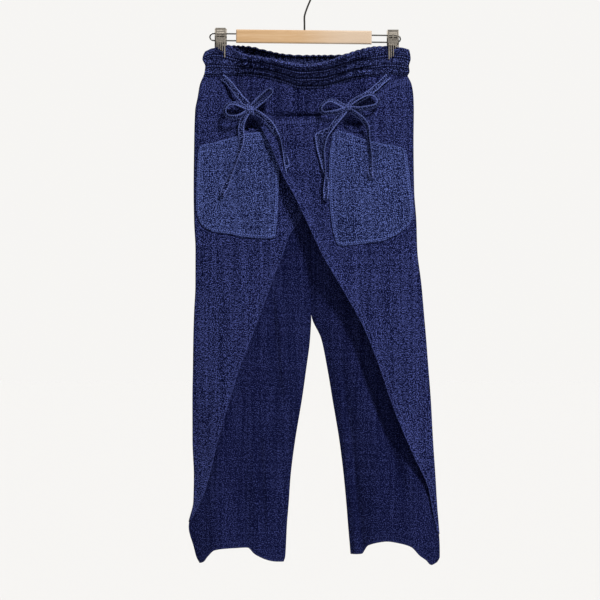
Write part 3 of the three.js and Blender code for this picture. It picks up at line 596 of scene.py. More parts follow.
def smooth_route(points, count):
    """Evenly spaced points of a smooth curve through the given ones."""
    knots = np.array(points, float)
    p = np.vstack([2 * knots[0] - knots[1], knots, 2 * knots[-1] - knots[-2]])
    fine = []
    for i in range(1, len(p) - 2):
        p0, p1, p2, p3 = p[i - 1 : i + 3]
        d0, d1, d2 = (
            max(np.linalg.norm(b - a) ** 0.5, 1e-4) for a, b in ((p0, p1), (p1, p2), (p2, p3))
        )
        t1 = ((p1 - p0) / d0 - (p2 - p0) / (d0 + d1) + (p2 - p1) / d1) * d1
        t2 = ((p2 - p1) / d1 - (p3 - p1) / (d1 + d2) + (p3 - p2) / d2) * d1
        for t in np.linspace(0, 1, ROUTE_STEPS, endpoint=False):
            bend = (-3 * p1 + 3 * p2 - 2 * t1 - t2) * t**2 + (2 * p1 - 2 * p2 + t1 + t2) * t**3
            fine.append(p1 + t1 * t + bend)
    fine.append(p[-2])
    fine = np.array(fine)
    length = np.concatenate([[0], np.cumsum(np.linalg.norm(np.diff(fine, axis=0), axis=1))])
    at = np.linspace(0, length[-1], count + 1)
    return np.column_stack([np.interp(at, length, fine[:, k]) for k in range(3)])


def on_front(x, z, out):
    """A point a given height above the trouser front, without its fine unevenness."""
    x, z = np.atleast_1d(np.asarray(x, float)), np.atleast_1d(np.asarray(z, float))
    y = -(SEAM_GAP / 2 + half_depth("front", x, z, worn=0.0)) - CLOTH - out
    return np.column_stack([x, y, z])


def unit(vectors):
    return vectors / np.linalg.norm(vectors, axis=-1, keepdims=True)


def turned(vectors, axes, degrees):
    """Vectors turned about unit axes that they stand square to."""
    angle = np.radians(degrees)[:, None]
    return vectors * np.cos(angle) + np.cross(axes, vectors) * np.sin(angle)


def tape_section(around):
    """Places round a tape, across it and up from its middle: rounded edges with a sewn ridge."""
    turn = 2 * math.pi * np.asarray(around)
    across = np.sign(np.cos(turn)) * np.abs(np.cos(turn)) ** 0.75
    height = np.sign(np.sin(turn)) * np.abs(np.sin(turn)) ** 0.45
    ridge = 1 - 0.28 * np.exp(-(((np.abs(across) - 0.72) / 0.1) ** 2))
    return across, height * ridge


def add_tape(body, route, widths, thicknesses, angles, cup):
    """A flat sewn tape along a route, in mm; returns its points and where each one lies.

    angles turn it about its own line, from lying flat on the front, and cup bows it across."""
    steps = len(route) - 1
    made = bmesh.ops.create_grid(body, x_segments=TAPE_SIDES, y_segments=steps, size=0.5)["verts"]
    flat = np.array([vert.co[:2] for vert in made]) + 0.5
    ring = np.round(flat[:, 1] * steps).astype(int)
    tangent = unit(np.gradient(route, axis=0))
    wide = np.cross(tangent, (0.0, -1.0, 0.0))
    wide = unit(wide - tangent * np.sum(wide * tangent, axis=1, keepdims=True))
    wide = turned(wide, tangent, angles)
    thick = np.cross(tangent, wide)
    w, h = tape_section(flat[:, 0])
    half_w, half_t = 0.5 * widths[ring], 0.5 * thicknesses[ring]
    bow = cup * half_w * (w**2 - 0.4)
    points = (
        route[ring] + wide[ring] * (w * half_w)[:, None] + thick[ring] * (h * half_t + bow)[:, None]
    )
    for vert, point in zip(made, points * MM):
        vert.co = point
    return made, flat[:, 0], flat[:, 1], (1 - np.abs(w)) * half_w


def tape_piece(name, build, finish):
    """An object from tapes and knots added to one body, with every seam closed."""
    body = bmesh.new()
    marks = {
        "weave": body.loops.layers.uv.new("weave"),
        "stitch_line": body.verts.layers.float.new("stitch_line"),
        "stitch_run": body.verts.layers.float.new("stitch_run"),
    }
    build(body, marks)
    bmesh.ops.remove_doubles(body, verts=body.verts, dist=WELD)
    open_edges = [edge for edge in body.edges if edge.is_boundary]
    bmesh.ops.holes_fill(body, edges=open_edges, sides=0)
    bmesh.ops.recalc_face_normals(body, faces=body.faces)
    mesh = bpy.data.meshes.new(name)
    body.to_mesh(mesh)
    body.free()
    mesh.shade_smooth()
    return new_object(name, mesh, finish)


def lay_weave(verts, marks, across, along, from_edge):
    """The weave's own coordinates on new faces, in metres, and where the edge stitches run."""
    where = {vert: (a, b) for vert, a, b in zip(verts, across, along)}
    for vert, distance, run in zip(verts, from_edge, along):
        vert[marks["stitch_line"]] = distance
        vert[marks["stitch_run"]] = run / MM
    for face in {face for vert in verts for face in vert.link_faces}:
        for corner in face.loops:
            if corner.vert in where:
                corner[marks["weave"]].uv = where[corner.vert]


def lay_tape(body, marks, rows, steps, knotted, angles, cup, tapered=0.0):
    """Lays one tape along a table of points; tapered narrows it at both of its ends."""
    route = smooth_route(on_front(rows["x"], rows["z"], rows["out"]), steps)
    length = np.linalg.norm(np.diff(route, axis=0), axis=1).sum()
    t = np.linspace(0, 1, steps + 1)
    widths = TAPE_WIDTH * (1 - tapered * np.exp(-np.minimum(t, 1 - t) * length / 6.0))
    widths = widths * (1 + 0.05 * np.sin(23 * t + steps))
    thicknesses = np.full(steps + 1, float(TAPE_THICKNESS))
    if knotted:
        before_end = (1 - t) * length
        ball = np.exp(-(((before_end - END_KNOT_MIDDLE) / END_KNOT_REACH) ** 4))
        tip = 1 - smooth(END_TIP, 0.0, before_end)
        widths = widths * mix(1.0, 0.8, ball) * mix(0.5, 1.0, tip)
        thicknesses = mix(thicknesses, END_KNOT_THICK, ball) * mix(0.4, 1.0, tip)
    made, around, run, from_edge = add_tape(body, route, widths, thicknesses, angles(t), cup)
    lay_weave(made, marks, around * 2 * TAPE_WIDTH * MM, run * length * MM, from_edge)
    return route, length


# Finishes: cloth, wood and steel
class Finish:
    """A surface finish: a material whose nodes are added as it is mixed."""

    def __init__(self, name, shader_values):
        self.material = bpy.data.materials.new(name)
        self.material.use_nodes = True
        self.tree = self.material.node_tree
        self.shader = self.tree.nodes["Principled BSDF"]
        for socket, value in shader_values.items():
            self.shader.inputs[socket].default_value = value

    def feed(self, socket, value):
        if isinstance(value, bpy.types.NodeSocket):
            self.tree.links.new(value, socket)
        else:
            socket.default_value = value

    def node(self, kind, inputs=(), **settings):
        made = self.tree.nodes.new("ShaderNode" + kind)
        for name, value in settings.items():
            setattr(made, name, value)
        for key, value in dict(inputs).items():
            self.feed(made.inputs[key], value)
        return made

    def grain(self, where, scale, detail=2.0, roughness=0.55, twist=0.0):
        """Noise with its own scale across, along and deep, about 0.5."""
        placed = self.node(
            "Mapping", {"Vector": where, "Rotation": (0, 0, math.radians(twist)), "Scale": scale}
        )
        made = self.node(
            "TexNoise",
            {"Vector": placed.outputs[0], "Scale": 1.0, "Detail": detail, "Roughness": roughness},
        )
        return made.outputs[0]

    def sum_of(self, *weighted):
        """0.5 plus the weighted departures of several grains from 0.5."""
        total = 0.5
        for source, weight in weighted:
            part = self.node(
                "Math", {0: source, 1: weight, 2: -0.5 * weight}, operation="MULTIPLY_ADD"
            )
            total = self.math("ADD", part.outputs[0], total)
        return total

    def math(self, operation, a, b=0.0, clamp=False):
        return self.node("Math", {0: a, 1: b}, operation=operation, use_clamp=clamp).outputs[0]

    def fade(self, value, start, end):
        """1 where value is at or below start, softly down to 0 at end."""
        made = self.node(
            "MapRange",
            {"Value": value, "From Min": start, "From Max": end, "To Min": 1.0, "To Max": 0.0},
            interpolation_type="SMOOTHSTEP",
        )
        return made.outputs[0]

    def shades(self, value, *stops):
        """Colours by value, each stop a place and a colour."""
        made = self.node("ValToRGB", {"Fac": value})
        ramp = made.color_ramp
        ramp.elements[0].position, ramp.elements[1].position = stops[0][0], stops[-1][0]
        for place, _ in stops[1:-1]:
            ramp.elements.new(place)
        for element, (_, colour) in zip(ramp.elements, stops):
            element.color = (*colour, 1)
        return made.outputs[0]

    def blend(self, share, under, colour):
        """A plain colour laid over another one by its share."""
        inputs = {0: share, 6: under, 7: (*colour, 1)}
        return self.node("Mix", inputs, data_type="RGBA", blend_type="MIX").outputs[2]

    def attribute(self, name):
        return self.node("Attribute", attribute_name=name).outputs["Fac"]

    def relief(self, height, depth, strength):
        bump = self.node("Bump", {"Height": height, "Distance": depth, "Strength": strength})
        self.feed(self.shader.inputs["Normal"], bump.outputs[0])


# Grains of the cloth: cells for each metre across and down, detail and weight. The yarns come
# first, warp, weft and flecks, then the slubs both ways, long streaks and soft clouds.
YARNS = (((860, 150, 1), 2.0, 1.5), ((150, 860, 1), 2.0, 1.7), ((540, 580, 1), 1.0, 3.4))
SLUBS = (((230, 7, 1), 1.0, 0.75), ((7, 230, 1), 1.0, 0.5), ((45, 1.6, 1), 2.0, 0.4),
         ((9, 7, 1), 3.0, 0.35))
STITCH_PITCH = 4.4
CLOTH_RELIEF = 0.0013
LOW_SHADE_HEIGHTS = (-0.47, -0.25)    # heights of painted shade: below the first the trousers are darker and plainer, fading out by the second

# Each cloth's colour in its shadows, on most of it, and where its dye is worn pale
SHADES = {
    "trouser": ((0.0005, 0.0009, 0.0123), (0.0040, 0.0057, 0.0339), (0.0158, 0.0197, 0.0690)),
    "flap": ((0.0006, 0.0012, 0.0137), (0.0045, 0.0063, 0.0392), (0.0180, 0.0228, 0.0764)),
    "band": ((0.0002, 0.0004, 0.0054), (0.0040, 0.0057, 0.0316), (0.0220, 0.0283, 0.0871)),
    "pocket": ((0.0011, 0.0019, 0.0205), (0.0076, 0.0115, 0.0565), (0.0283, 0.0385, 0.1117)),
    "tape": ((0.0002, 0.0005, 0.009), (0.0032, 0.0052, 0.031), (0.034, 0.044, 0.122)),
}


def bright(colour, factor):
    return tuple(factor * c for c in colour)


def indigo(name, shades, flecks, edge, stitched=HEM - STITCH_INSET, ribs=0.0, lower=1.0,
           seam_shade=0.5, seam=(0.8, 2.4), rim=(0.4, 2.8)):
    """Hand-woven slubby indigo: uneven yarns both ways, faded flecks and stitched edges.

    flecks is how strong the yarns' flecks are and lower how much of them is left below the
    wrap flaps, where painted shade darkens the cloth; edge how pale the edges are, worn and
    given a painted highlight, and rim how far in they reach; stitched the distance of the
    stitches from the edge, seam_shade how dark the painted shade along their seam is and seam
    how wide."""
    dark, middle, pale = shades
    cloth = Finish(name, {
        "Roughness": 1.0, "Specular IOR Level": 0.02,
        "Sheen Weight": 0.02, "Sheen Roughness": 0.5, "Sheen Tint": (0.25, 0.32, 0.9, 1),
    })
    weave = cloth.node("UVMap", uv_map="weave").outputs[0]
    parts = [
        (cloth.grain(weave, cells, detail, 0.6), weight * flecks) for cells, detail, weight in YARNS
    ]
    fleck = parts[-1][0]
    parts += [(cloth.grain(weave, cells, detail), weight) for cells, detail, weight in SLUBS]
    if ribs:
        parts.append((cloth.grain(weave, (60, 520, 1), 1.0, twist=-32), ribs))
    shade = cloth.sum_of(*parts)
    colour = cloth.shades(
        shade, (0.10, dark), (0.50, middle), (0.80, pale), (1.0, bright(pale, 4.0))
    )
    # Painted shade: below the wrap flaps the colour is blended towards a darker, plainer shade
    if lower < 1:
        height = cloth.node("SeparateXYZ", {0: cloth.node("TexCoord").outputs["Object"]}).outputs[2]
        below = cloth.fade(height, *LOW_SHADE_HEIGHTS)
        plain = tuple(mix(d, m, 0.72) for d, m in zip(dark, middle))
        colour = cloth.blend(cloth.math("MULTIPLY", below, 1 - lower), colour, plain)

    # Stitches are dashes along a sunk line darkened by painted shade, and only the palest flecks
    # show on an edge that is worn and painted pale as a highlight
    line = cloth.attribute("stitch_line")
    run = cloth.attribute("stitch_run")
    off_line = cloth.math("ABSOLUTE", cloth.math("SUBTRACT", line, stitched))
    on_line = cloth.fade(off_line, 0.55, 1.4)
    pitch = cloth.math("FRACT", cloth.math("MULTIPLY", run, 1 / STITCH_PITCH))
    dash = cloth.fade(pitch, 0.55, 0.7)
    thread = cloth.math("MULTIPLY", on_line, dash)
    # Painted shade darkens the cloth along the sunk line of the stitches
    seam_shade_mask = cloth.math("MULTIPLY", cloth.fade(off_line, *seam), seam_shade)
    patchy = cloth.math("SUBTRACT", cloth.math("MULTIPLY", fleck, 6.0), 2.4, clamp=True)
    # worn is the pale edge: partly wear, partly a painted highlight
    worn = cloth.math("MULTIPLY", cloth.fade(line, *rim), cloth.math("MULTIPLY", patchy, 0.85))
    colour = cloth.blend(seam_shade_mask, colour, dark)
    colour = cloth.blend(worn, colour, bright(pale, edge))
    colour = cloth.blend(cloth.math("MULTIPLY", thread, 0.9), colour, bright(pale, 1.15 * edge))
    cloth.feed(cloth.shader.inputs["Base Color"], colour)
    raised = cloth.math("ADD", shade, cloth.math("MULTIPLY", thread, 0.5))
    cloth.relief(raised, CLOTH_RELIEF, 0.7)
    return cloth.material


WOOD_SHADES = ((0.41, 0.253, 0.122), (0.515, 0.323, 0.164), (0.60, 0.412, 0.243))
WOOD_GLARE = (0.62, 0.50, 0.39)


def pale_wood():
    """Pale lacquered hardwood, its grain along the bar, paler on the side that faces the lamp."""
    wood = Finish("pale_wood", {"Roughness": 0.42, "Specular IOR Level": 0.4, "Coat Weight": 0.15})
    where = wood.node("TexCoord").outputs["Object"]
    rings = wood.grain(where, (5, 120, 160), 4.0, 0.6)
    pores = wood.grain(where, (40, 900, 900), 2.0, 0.5)
    tone = wood.grain(where, (7, 3, 3), 1.0)
    shade = wood.sum_of((rings, 0.9), (pores, 0.5), (tone, 0.5))
    colour = wood.shades(shade, *zip((0.2, 0.5, 0.8), WOOD_SHADES))
    across = wood.node("SeparateXYZ", {0: where}).outputs[0]
    glare = wood.math("MULTIPLY", wood.math("SUBTRACT", 1.0, wood.fade(across, -0.03, 0.09)), 0.75)
    colour = wood.blend(glare, colour, WOOD_GLARE)
    wood.feed(wood.shader.inputs["Base Color"], colour)
    wood.relief(shade, 0.0003, 0.4)
    return wood.material


def plated_steel(name, tone, roughness):
    """Nickel-plated steel with fine drawing marks and small dull spots."""
    steel = Finish(name, {"Metallic": 1.0})
    where = steel.node("TexCoord").outputs["Object"]
    drawn = steel.grain(where, (140, 900, 900), 2.0)
    spots = steel.grain(where, (260, 260, 260), 3.0)
    shade = steel.sum_of((drawn, 0.5), (spots, 0.8))
    colour = steel.shades(
        shade, (0.2, bright(tone, 0.45)), (0.55, tone), (0.9, bright(tone, 1.3))
    )
    steel.feed(steel.shader.inputs["Base Color"], colour)
    rough = steel.node("Math", {0: shade, 1: 0.3, 2: roughness - 0.15}, operation="MULTIPLY_ADD")
    steel.feed(steel.shader.inputs["Roughness"], rough.outputs[0])
    steel.relief(shade, 0.0002, 0.35)
    return steel.material


trouser_cloth = indigo("indigo_trouser_cloth", SHADES["trouser"], flecks=1.15, edge=1.5, lower=0.5)
flap_cloth = indigo("indigo_flap_cloth", SHADES["flap"], flecks=1.35, edge=2.5)
# The casing's tunnel lines carry deep and wide painted shade in their valleys
band_cloth = indigo(
    "indigo_band_cloth", SHADES["band"], flecks=1.2, edge=2.8, stitched=TUNNEL_STITCH,
    seam_shade=0.97, seam=(1.0, 5.6),
)
pocket_cloth = indigo(
    "washed_pocket_cloth", SHADES["pocket"], flecks=1.6, edge=3.6, stitched=POCKET_STITCH,
    ribs=0.8, rim=(1.2, 3.2),
)
tape_cloth = indigo("indigo_tape_cloth", SHADES["tape"], flecks=0.9, edge=3.2, stitched=TAPE_STITCH)
wood = pale_wood()
wire_steel = plated_steel("wire_steel", (0.075, 0.072, 0.066), 0.45)
clip_steel = plated_steel("clip_steel", (0.32, 0.29, 0.25), 0.52)


# Camera first, then the cords
def make_camera():
    data = bpy.data.cameras.new("camera")
    data.sensor_width = FILM_WIDTH
    data.lens = FILM_WIDTH * (VIEW_DISTANCE - CLOTH_FRONT) / PICTURE_WIDTH
    camera = bpy.data.objects.new("camera", data)
    camera.location = (PICTURE_CENTRE[0], -VIEW_DISTANCE, PICTURE_CENTRE[1])
    camera.rotation_euler = (math.radians(90), 0, 0)
    bpy.context.scene.collection.objects.link(camera)
    bpy.context.scene.camera = camera


make_camera()


def free_end(name, knotted, rows):
    """A free end of a tie, hanging limp and half turned down the front of the flaps."""
    laid = {}

    def build(body, marks):
        twist = column(TWISTS[name], "along", "degrees")
        laid["route"], laid["length"] = lay_tape(
            body, marks, rows, TAPE_STEPS["end"], knotted, twist, cup=0.10
        )

    piece = tape_piece(f"tie_tape_{name}", build, tape_cloth)
    rides(piece, f"tie_end_{name}")
    [tape_fold()] if name == "right_inner" else []


def tape_fold():
    """The tape doubled over beside its own line, flat on the flap."""
    left, right = column(TAPE_FOLD, "z", "left"), column(TAPE_FOLD, "z", "right")
    top, low = TAPE_FOLD["z"][0], TAPE_FOLD["z"][-1]

    def place(u, v):
        z = mix(top, low, v)
        x = mix(left(z), right(z), u)
        y = on_front(x, z, TAPE_FOLD_OUT + 0.8 * u)[:, 1]
        from_edge = (x - left(z)) * 0.9
        return x, y, z, from_edge, z

    piece = cloth_layer(
        "tie_tape_right_inner_fold", np.linspace(0, 1, 15), np.linspace(0, 1, 49), place,
        TAPE_THICKNESS, tape_cloth, OUTWARD["front"], shift=4.1,
    )
    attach(piece, "root")
    return piece


for end_name, (knotted, rows) in FREE_ENDS.items():
    free_end(end_name, knotted, rows)


# Trouser legs
def leg_layer(side, face):
    outer, inner = SEAM_X[side]["outer"], SEAM_X[side]["inner"]
    us, vs = (spaced(*way) for way in PANELS["leg"])

    def place(u, v):
        top_x = mix(outer(LEG_TOP), inner(LEG_TOP), u)
        top = BAND_LOW[face](top_x) - WAIST_SEAM_GAP
        low = HEM_Z[side](u)
        z = mix(top, low, v)
        x = mix(outer(z), inner(z), u)
        z = np.where(v == 0, z + TUCK, z)
        from_hem = z - low
        beside_seams = np.minimum(1, np.minimum(u, 1 - u) * 20)
        relief = hem_relief(from_hem, LEG_HEM_WIDTH) * beside_seams - TUCK_IN * (v == 0)
        from_seam = np.minimum(np.abs(x - outer(z)), np.abs(x - inner(z)))
        seam_dip = SEAM_DIP * np.exp(-from_seam / SEAM_DIP_WIDTH)
        depth = SEAM_GAP / 2 + half_depth(face, x, z)
        y = OUTWARD[face] * (depth + np.maximum(relief - seam_dip, -depth + SEAM_GAP / 2))
        return x, y, z, from_hem - (LEG_HEM_WIDTH - HEM), x

    shift = 0.41 * (side == "left") + 0.83 * (face == "back")
    name = f"{face}_{side}_cloth"
    piece = cloth_layer(name, us, vs, place, CLOTH, trouser_cloth, OUTWARD[face], shift)
    rides(piece, f"{face}_{side}")


for side in ("left", "right"):
    for face in ("front", "back"):
        leg_layer(side, face)


# Elastic waistband
def band_layer(face):
    """Half of the casing: gathers all along, puffed between the tunnels' stitch lines."""
    on_view = face == "front"

    def place(u, v):
        nominal_x = mix(BAND_LEFT, BAND_RIGHT, u)
        z = mix(BAND_TOP[face](nominal_x), BAND_LOW[face](nominal_x), v)
        x = mix(BAND_SIDE["left"](z), BAND_SIDE["right"](z), u)
        at_end = smooth(0, 0.03, np.minimum(u, 1 - u))
        free = clip_release(x, z) * at_end
        wander = 0.05 * crinkle(x, z, 40, 400, 5) * np.sin(math.pi * v)
        tunnel = np.abs(np.sin(math.pi * TUNNELS * (v + wander)))
        middle = np.exp(-(((x - 5) / 95) ** 4))
        strength = mix(1.5, 0.45 if on_view else 0.9, middle)
        uneven = 1 + 0.6 * crinkle(x, z, 9, 12, 3)
        gather = GATHER_DEPTH * gather_wave(u) * strength * uneven * mix(0.3, 1.0, tunnel**0.8)
        swag = 1.8 * middle * crinkle(x, z, 55, 5.5, 7)
        puff = mix(1.9, 3.8, middle) * (tunnel**0.6)
        frill = 1.3 * (gather_wave(u) - 0.5) * np.exp(-v * 9) * at_end
        soft = 0.6 * crinkle(x, z, 7, 16, 4)
        rim = 1.6 * np.exp(-(((v - 0.05) / 0.05) ** 2)) if on_view else 0
        y = OUTWARD[face] * (
            SEAM_GAP / 2 + half_depth(face, x, z, worn=0.3)
            + (gather + puff + swag * on_view + soft + rim) * free
        )
        tall = BAND_TOP[face](nominal_x) - BAND_LOW[face](nominal_x)
        from_line = np.abs((TUNNELS * (v + wander) + 0.5) % 1 - 0.5) / TUNNELS * tall
        # Painted shade: the dark lines along the tunnels are widened in the front's middle
        from_line = from_line * (1 - 0.5 * middle * on_view)
        mark = TUNNEL_STITCH + from_line
        # The front's top rim is painted pale, as wear and as a highlight
        if on_view:
            mark = np.where(v * tall < BAND_RIM, v * tall, mark)
        return x, y, z + frill, mark, x

    us, vs = (np.linspace(0, 1, cells + 1) for cells in BAND_CELLS)
    name = f"waistband_{face}_casing"
    piece = cloth_layer(name, us, vs, place, BAND_CLOTH, band_cloth, OUTWARD[face], shift=1.3)
    rides(piece, f"waistband_{face}")


for face in ("front", "back"):
    band_layer(face)


# Wrap flaps
def flap_layer(side, edge, top_rows, inner_face, double_stitch):
    """A petal-shaped flap from its tied corner to the side seam, hemmed along its free edges."""
    edge_x = column(edge, "z", "x")
    top_z = column(top_rows, "along", "z")
    first, last = edge["z"][0], edge["z"][-1]
    seam_last = last - FLAP_TAIL
    us, vs = (spaced(*way) for way in PANELS["flap"])

    def place(u, v):
        edge_z = mix(first, last, v)
        side_z = mix(top_z(1.0), seam_last, v)
        straight_top = mix(top_z(0.0), top_z(1.0), u)
        z = mix(edge_z, side_z, u) + (top_z(u) - straight_top) * (1 - v) ** 3
        x = mix(edge_x(edge_z), SEAM_X[side]["outer"](side_z), u)
        from_edge = EDGE_SLANT * np.abs(x - edge_x(np.clip(z, last, first)))
        from_top = top_z(u) - z
        if double_stitch:
            twice = HEM - 2.5 + np.abs(from_top - HEM + STITCH_INSET)
            from_top = np.where(from_top < WORN_LIT_RIM, from_top, twice)
        nearest = np.minimum(from_edge, from_top)
        run = np.where(from_edge < from_top, z, x)
        relief = hem_relief(np.minimum(from_edge, top_z(u) - z)) * np.minimum(1, (1 - u) * 12)
        y = inner_face(x, z) - relief
        return x, y, z, nearest, run

    shift = 2.1 + 0.6 * (side == "left")
    name = f"wrap_flap_{side}_cloth"
    piece = cloth_layer(name, us, vs, place, CLOTH, flap_cloth, OUTWARD["front"], shift)
    rides(piece, f"wrap_flap_{side}")
    return piece


under_flap = flap_layer("left", UNDER_EDGE, UNDER_TOP, under_flap_inner, False)
over_flap = flap_layer("right", OVER_EDGE, OVER_TOP, over_flap_inner, True)


# Patch pockets
def pocket_layer(side, rows, flap_outer):
    across, down = rows
    top, low = column(across, "along", "top"), column(across, "along", "low")
    left, right = column(down, "along", "left"), column(down, "along", "right")
    us, vs = (spaced(*way) for way in PANELS["pocket"])

    def place(u, v):
        x = mix(left(v), right(v), u)
        z = mix(top(u), low(u), v)
        from_top, from_low = top(u) - z, z - low(u)
        from_sides = np.minimum(x - left(v), right(v) - x)
        from_others = np.minimum(from_sides, from_low)
        hem_stitch = np.abs(from_top - POCKET_HEM) + POCKET_HEM_MARK
        from_rim = np.where(from_top < WORN_LIT_RIM, from_top, hem_stitch)
        nearest = np.minimum(from_others, from_rim)
        run = np.where(from_sides < np.minimum(from_low, from_top), z, x)
        sewn = 0.55 * np.exp(-from_others / 2.2)
        relief = 0.45 * (1 - smooth(HEM + 3, HEM + 5, from_top)) + 0.35 * crinkle(x, z, 21, 26, 6)
        y = flap_outer(x, z) - POCKET_GAP - np.maximum(relief + 0.35, 0) + sewn
        return x, y, z, nearest, run

    shift = 3.3 + 0.9 * (side == "left")
    name = f"pocket_{side}_cloth"
    piece = cloth_layer(name, us, vs, place, CLOTH, pocket_cloth, OUTWARD["front"], shift)
    rides(piece, f"pocket_{side}")


pocket_layer("left", LEFT_POCKET, under_flap_outer)
pocket_layer("right", RIGHT_POCKET, over_flap_outer)


# Waist tapes and bows
def waist_tape(side):
    def wavering(t):
        return 14 + 10 * np.sin(5 * t)

    def build(body, marks):
        rows = WAIST_TAPES[side]
        lay_tape(body, marks, rows, TAPE_STEPS["waist"], False, wavering, cup=0.08)

    piece = tape_piece(f"waist_tape_{side}_cloth", build, tape_cloth)
    rides(piece, f"waist_tape_{side}")


def add_knot(body, marks, knot):
    """A pulled-tight knot: an oval with the tape wrapped across it and folds running into it."""
    x, z, out = knot["at"]
    centre = Vector(on_front(x, z, out)[0])
    ball = bmesh.ops.create_uvsphere(body, u_segments=40, v_segments=28, radius=1.0)["verts"]
    lean = math.radians(knot["lean"])
    for vert in ball:
        p = vert.co.copy()
        wrap = 0.16 * math.exp(-((p.x / 0.5) ** 6))
        crease = 0.20 * math.exp(-(((abs(p.x) - 0.62) / 0.10) ** 2))
        fold = 0.06 * math.sin(8 * p.z + 2 * p.x) + 0.04 * math.sin(13 * p.z)
        grown = 0.95 + wrap - crease + fold
        along, up = p.x * knot["long"] * grown, p.z * knot["wide"] * grown
        vert.co = (centre + Vector((
            along * math.cos(lean) - up * math.sin(lean),
            p.y * KNOT_DEPTH * grown,
            along * math.sin(lean) + up * math.cos(lean),
        ))) * MM
    edge = [knot["wide"] * (1 - abs(math.sin(6 * v.co.x / MM / knot["wide"]))) for v in ball]
    lay_weave(ball, marks, [v.co.x for v in ball], [v.co.z for v in ball], edge)


def on_edge(degrees):
    """A loop's turn along its way: flat at the knot, standing on its edge beyond it."""
    return lambda t: degrees * np.sin(math.pi * np.clip(t, 0.001, 0.999)) ** 0.35


def tied_bow(side):
    def build(body, marks):
        for degrees, rows in LOOPS[side]:
            lay_tape(
                body, marks, rows, TAPE_STEPS["loop"], False, on_edge(degrees), cup=0.12,
                tapered=0.35,
            )
        add_knot(body, marks, KNOTS[side])

    piece = tape_piece(f"bow_{side}_cloth", build, tape_cloth)
    rides(piece, f"bow_{side}")


for side in ("left", "right"):
    waist_tape(side)
    tied_bow(side)


# Clips: the front jaws are pressed sheet with a slotted thumb plate and a comb of teeth
JAW_SHEET = 1.2
JAW_ROUNDING = 0.28
JAW_LINE = table(
    "z stand",
    (-145, 2.95), (-124, 2.95), (-116, 4.0), (-109, 4.95), (-102, 5.6), (-93, 8.6),
)
JAW_COLUMNS = "x top low top_wide low_wide proud"
JAW_PARTS = {
    "left": table(
        JAW_COLUMNS,
        (0, -93, -96.5, 18, 19, 0), (0, -98.3, -100.2, 17, 17, 0.3), (0, -102, -103.9, 17, 17, 0.3),
        (0, -105.8, -107.8, 17, 17, 0.3), (-8, -95, -117, 2, 2, 0), (8, -95, -117, 2, 2, 0),
        (0, -109.6, -119, 18, 15, 0.2), (-6.4, -118, -128, 2.4, 1.2, 0.5),
        (-3.2, -118, -131, 2.4, 1.2, 0.5), (0, -118, -133, 2.4, 1.2, 0.5),
        (3.2, -118, -135, 2.4, 1.4, 0.5), (7.4, -116, -146, 2.8, 2.0, 0.8),
    ),
    "right": table(
        JAW_COLUMNS,
        (0, -93, -98, 20, 18, 0), (0, -99.4, -101, 18, 18, 0.3), (0, -104, -106, 18, 18, 0.3),
        (0, -109, -111, 18, 18, 0.3), (0, -101, -109, 2.4, 2.4, 0.2), (-8.4, -96, -117, 2, 2, 0),
        (8.4, -96, -117, 2, 2, 0), (0, -112, -121, 17, 14, 0.2), (-7, -118, -146, 2.4, 2.0, 0.8),
        (-3.4, -119, -143, 2.2, 1.6, 0.5), (0.6, -119, -141, 2.2, 1.4, 0.5),
        (4.4, -118, -127, 2.2, 1.2, 0.5),
    ),
}


def front_jaw(side):
    stand = column(JAW_LINE, "z", "stand")
    turn = -1 if side == "left" else 1
    rows = JAW_PARTS[side]
    jaw = bmesh.new()
    for x, top, low, top_wide, low_wide, proud in zip(*(rows[c] for c in JAW_COLUMNS.split())):
        for vert in bmesh.ops.create_cube(jaw, size=2)["verts"]:
            z = top if vert.co.z > 0 else low
            half = 0.5 * (top_wide if vert.co.z > 0 else low_wide)
            forward = 0 if vert.co.y > 0 else JAW_SHEET + proud
            vert.co = (
                (CLIP_CENTRE + turn * CLIP_X + x + vert.co.x * half) * MM,
                -(stand(z) + forward) * MM,
                (z - turn * CLIP_RISE) * MM,
            )
    bmesh.ops.bevel(
        jaw, geom=jaw.edges, offset=JAW_ROUNDING * MM, segments=2, profile=0.5, affect="EDGES",
        material=-1, clamp_overlap=True,
    )
    bmesh.ops.recalc_face_normals(jaw, faces=jaw.faces)
    mesh = bpy.data.meshes.new(f"clip_front_{side}")
    jaw.to_mesh(mesh)
    jaw.free()
    piece = new_object(f"clip_front_{side}", mesh, clip_steel)
    rides(piece, f"clip_jaw_front_{side}")


for side in ("left", "right"):
    front_jaw(side)


# Hanger and clips keep their solids and take their finishes
for node_name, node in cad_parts.items():
    if node_name == "hanger_bar":
        finish = wood
    elif node_name.startswith("hanger"):
        finish = wire_steel
    elif node_name.startswith("clip"):
        finish = clip_steel
    else:
        continue
    for material_slot in node.material_slots:
        material_slot.material = finish


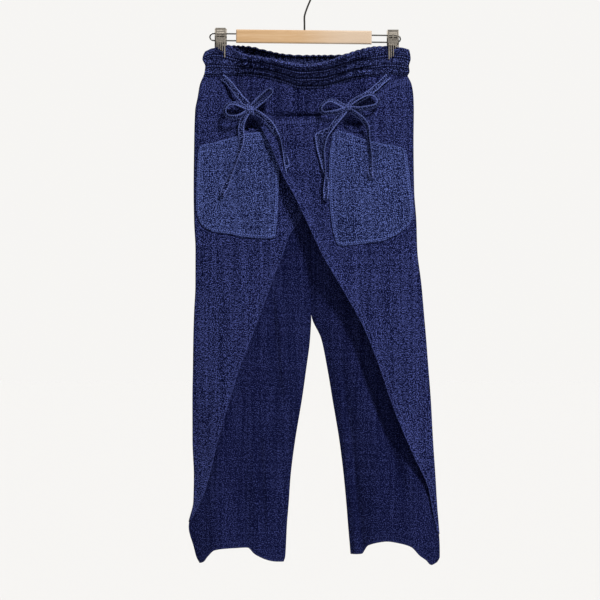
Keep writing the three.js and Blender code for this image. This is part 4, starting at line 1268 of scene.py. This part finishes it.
# Floor, backdrop light and lamps
FLOOR_Z = -1.9
FLOOR_SIZE = 40
FLOOR_COLOUR = (0.609, 0.610, 0.612)
BACKDROP = (0.925, 0.915, 0.897)
FILL_COLOUR, FILL_STRENGTH = (0.93, 0.95, 1.0), 0.05
LAMP_COLOUR = (1.0, 0.985, 0.96)

# Each lamp: where it stands as seen from the cloth, its strength and its softness in degrees
LAMPS = (
    ("key", (0.62, -1.0, 1.22), 4.4, 8),
    ("low_fill", (-0.35, -1.0, 0.12), 0.07, 40),
    ("back", (-0.45, 1.0, 0.75), 2.6, 25),
)


def pale_floor():
    sheet = bmesh.new()
    bmesh.ops.create_grid(sheet, x_segments=2, y_segments=2, size=FLOOR_SIZE)
    bmesh.ops.translate(sheet, verts=sheet.verts, vec=(0, 0, FLOOR_Z))
    mesh = bpy.data.meshes.new("floor")
    sheet.to_mesh(mesh)
    sheet.free()
    paint = Finish("pale_floor", {
        "Roughness": 1.0, "Specular IOR Level": 0.0, "Base Color": (*FLOOR_COLOUR, 1),
    })
    new_object("floor", mesh, paint.material)


def studio_light():
    """A pale surround, seen bright and lighting softly, with the lamps."""
    world = bpy.data.worlds.new("studio")
    bpy.context.scene.world = world
    world.use_nodes = True
    nodes, links = world.node_tree.nodes, world.node_tree.links
    fill = nodes["Background"]
    fill.inputs["Color"].default_value = (*FILL_COLOUR, 1)
    fill.inputs["Strength"].default_value = FILL_STRENGTH
    seen = nodes.new("ShaderNodeBackground")
    seen.inputs["Color"].default_value = (*BACKDROP, 1)
    ray = nodes.new("ShaderNodeLightPath")
    both = nodes.new("ShaderNodeMixShader")
    links.new(ray.outputs["Is Camera Ray"], both.inputs[0])
    links.new(fill.outputs[0], both.inputs[1])
    links.new(seen.outputs[0], both.inputs[2])
    links.new(both.outputs[0], nodes["World Output"].inputs["Surface"])
    for name, towards, energy, softness in LAMPS:
        sun = bpy.data.lights.new(name, "SUN")
        sun.energy = energy
        sun.angle = math.radians(softness)
        sun.color = LAMP_COLOUR
        lamp = bpy.data.objects.new(name, sun)
        lamp.rotation_euler = Vector(towards).to_track_quat("Z", "Y").to_euler()
        bpy.context.scene.collection.objects.link(lamp)


pale_floor()
studio_light()
bpy.context.scene.view_settings.view_transform = "Standard"
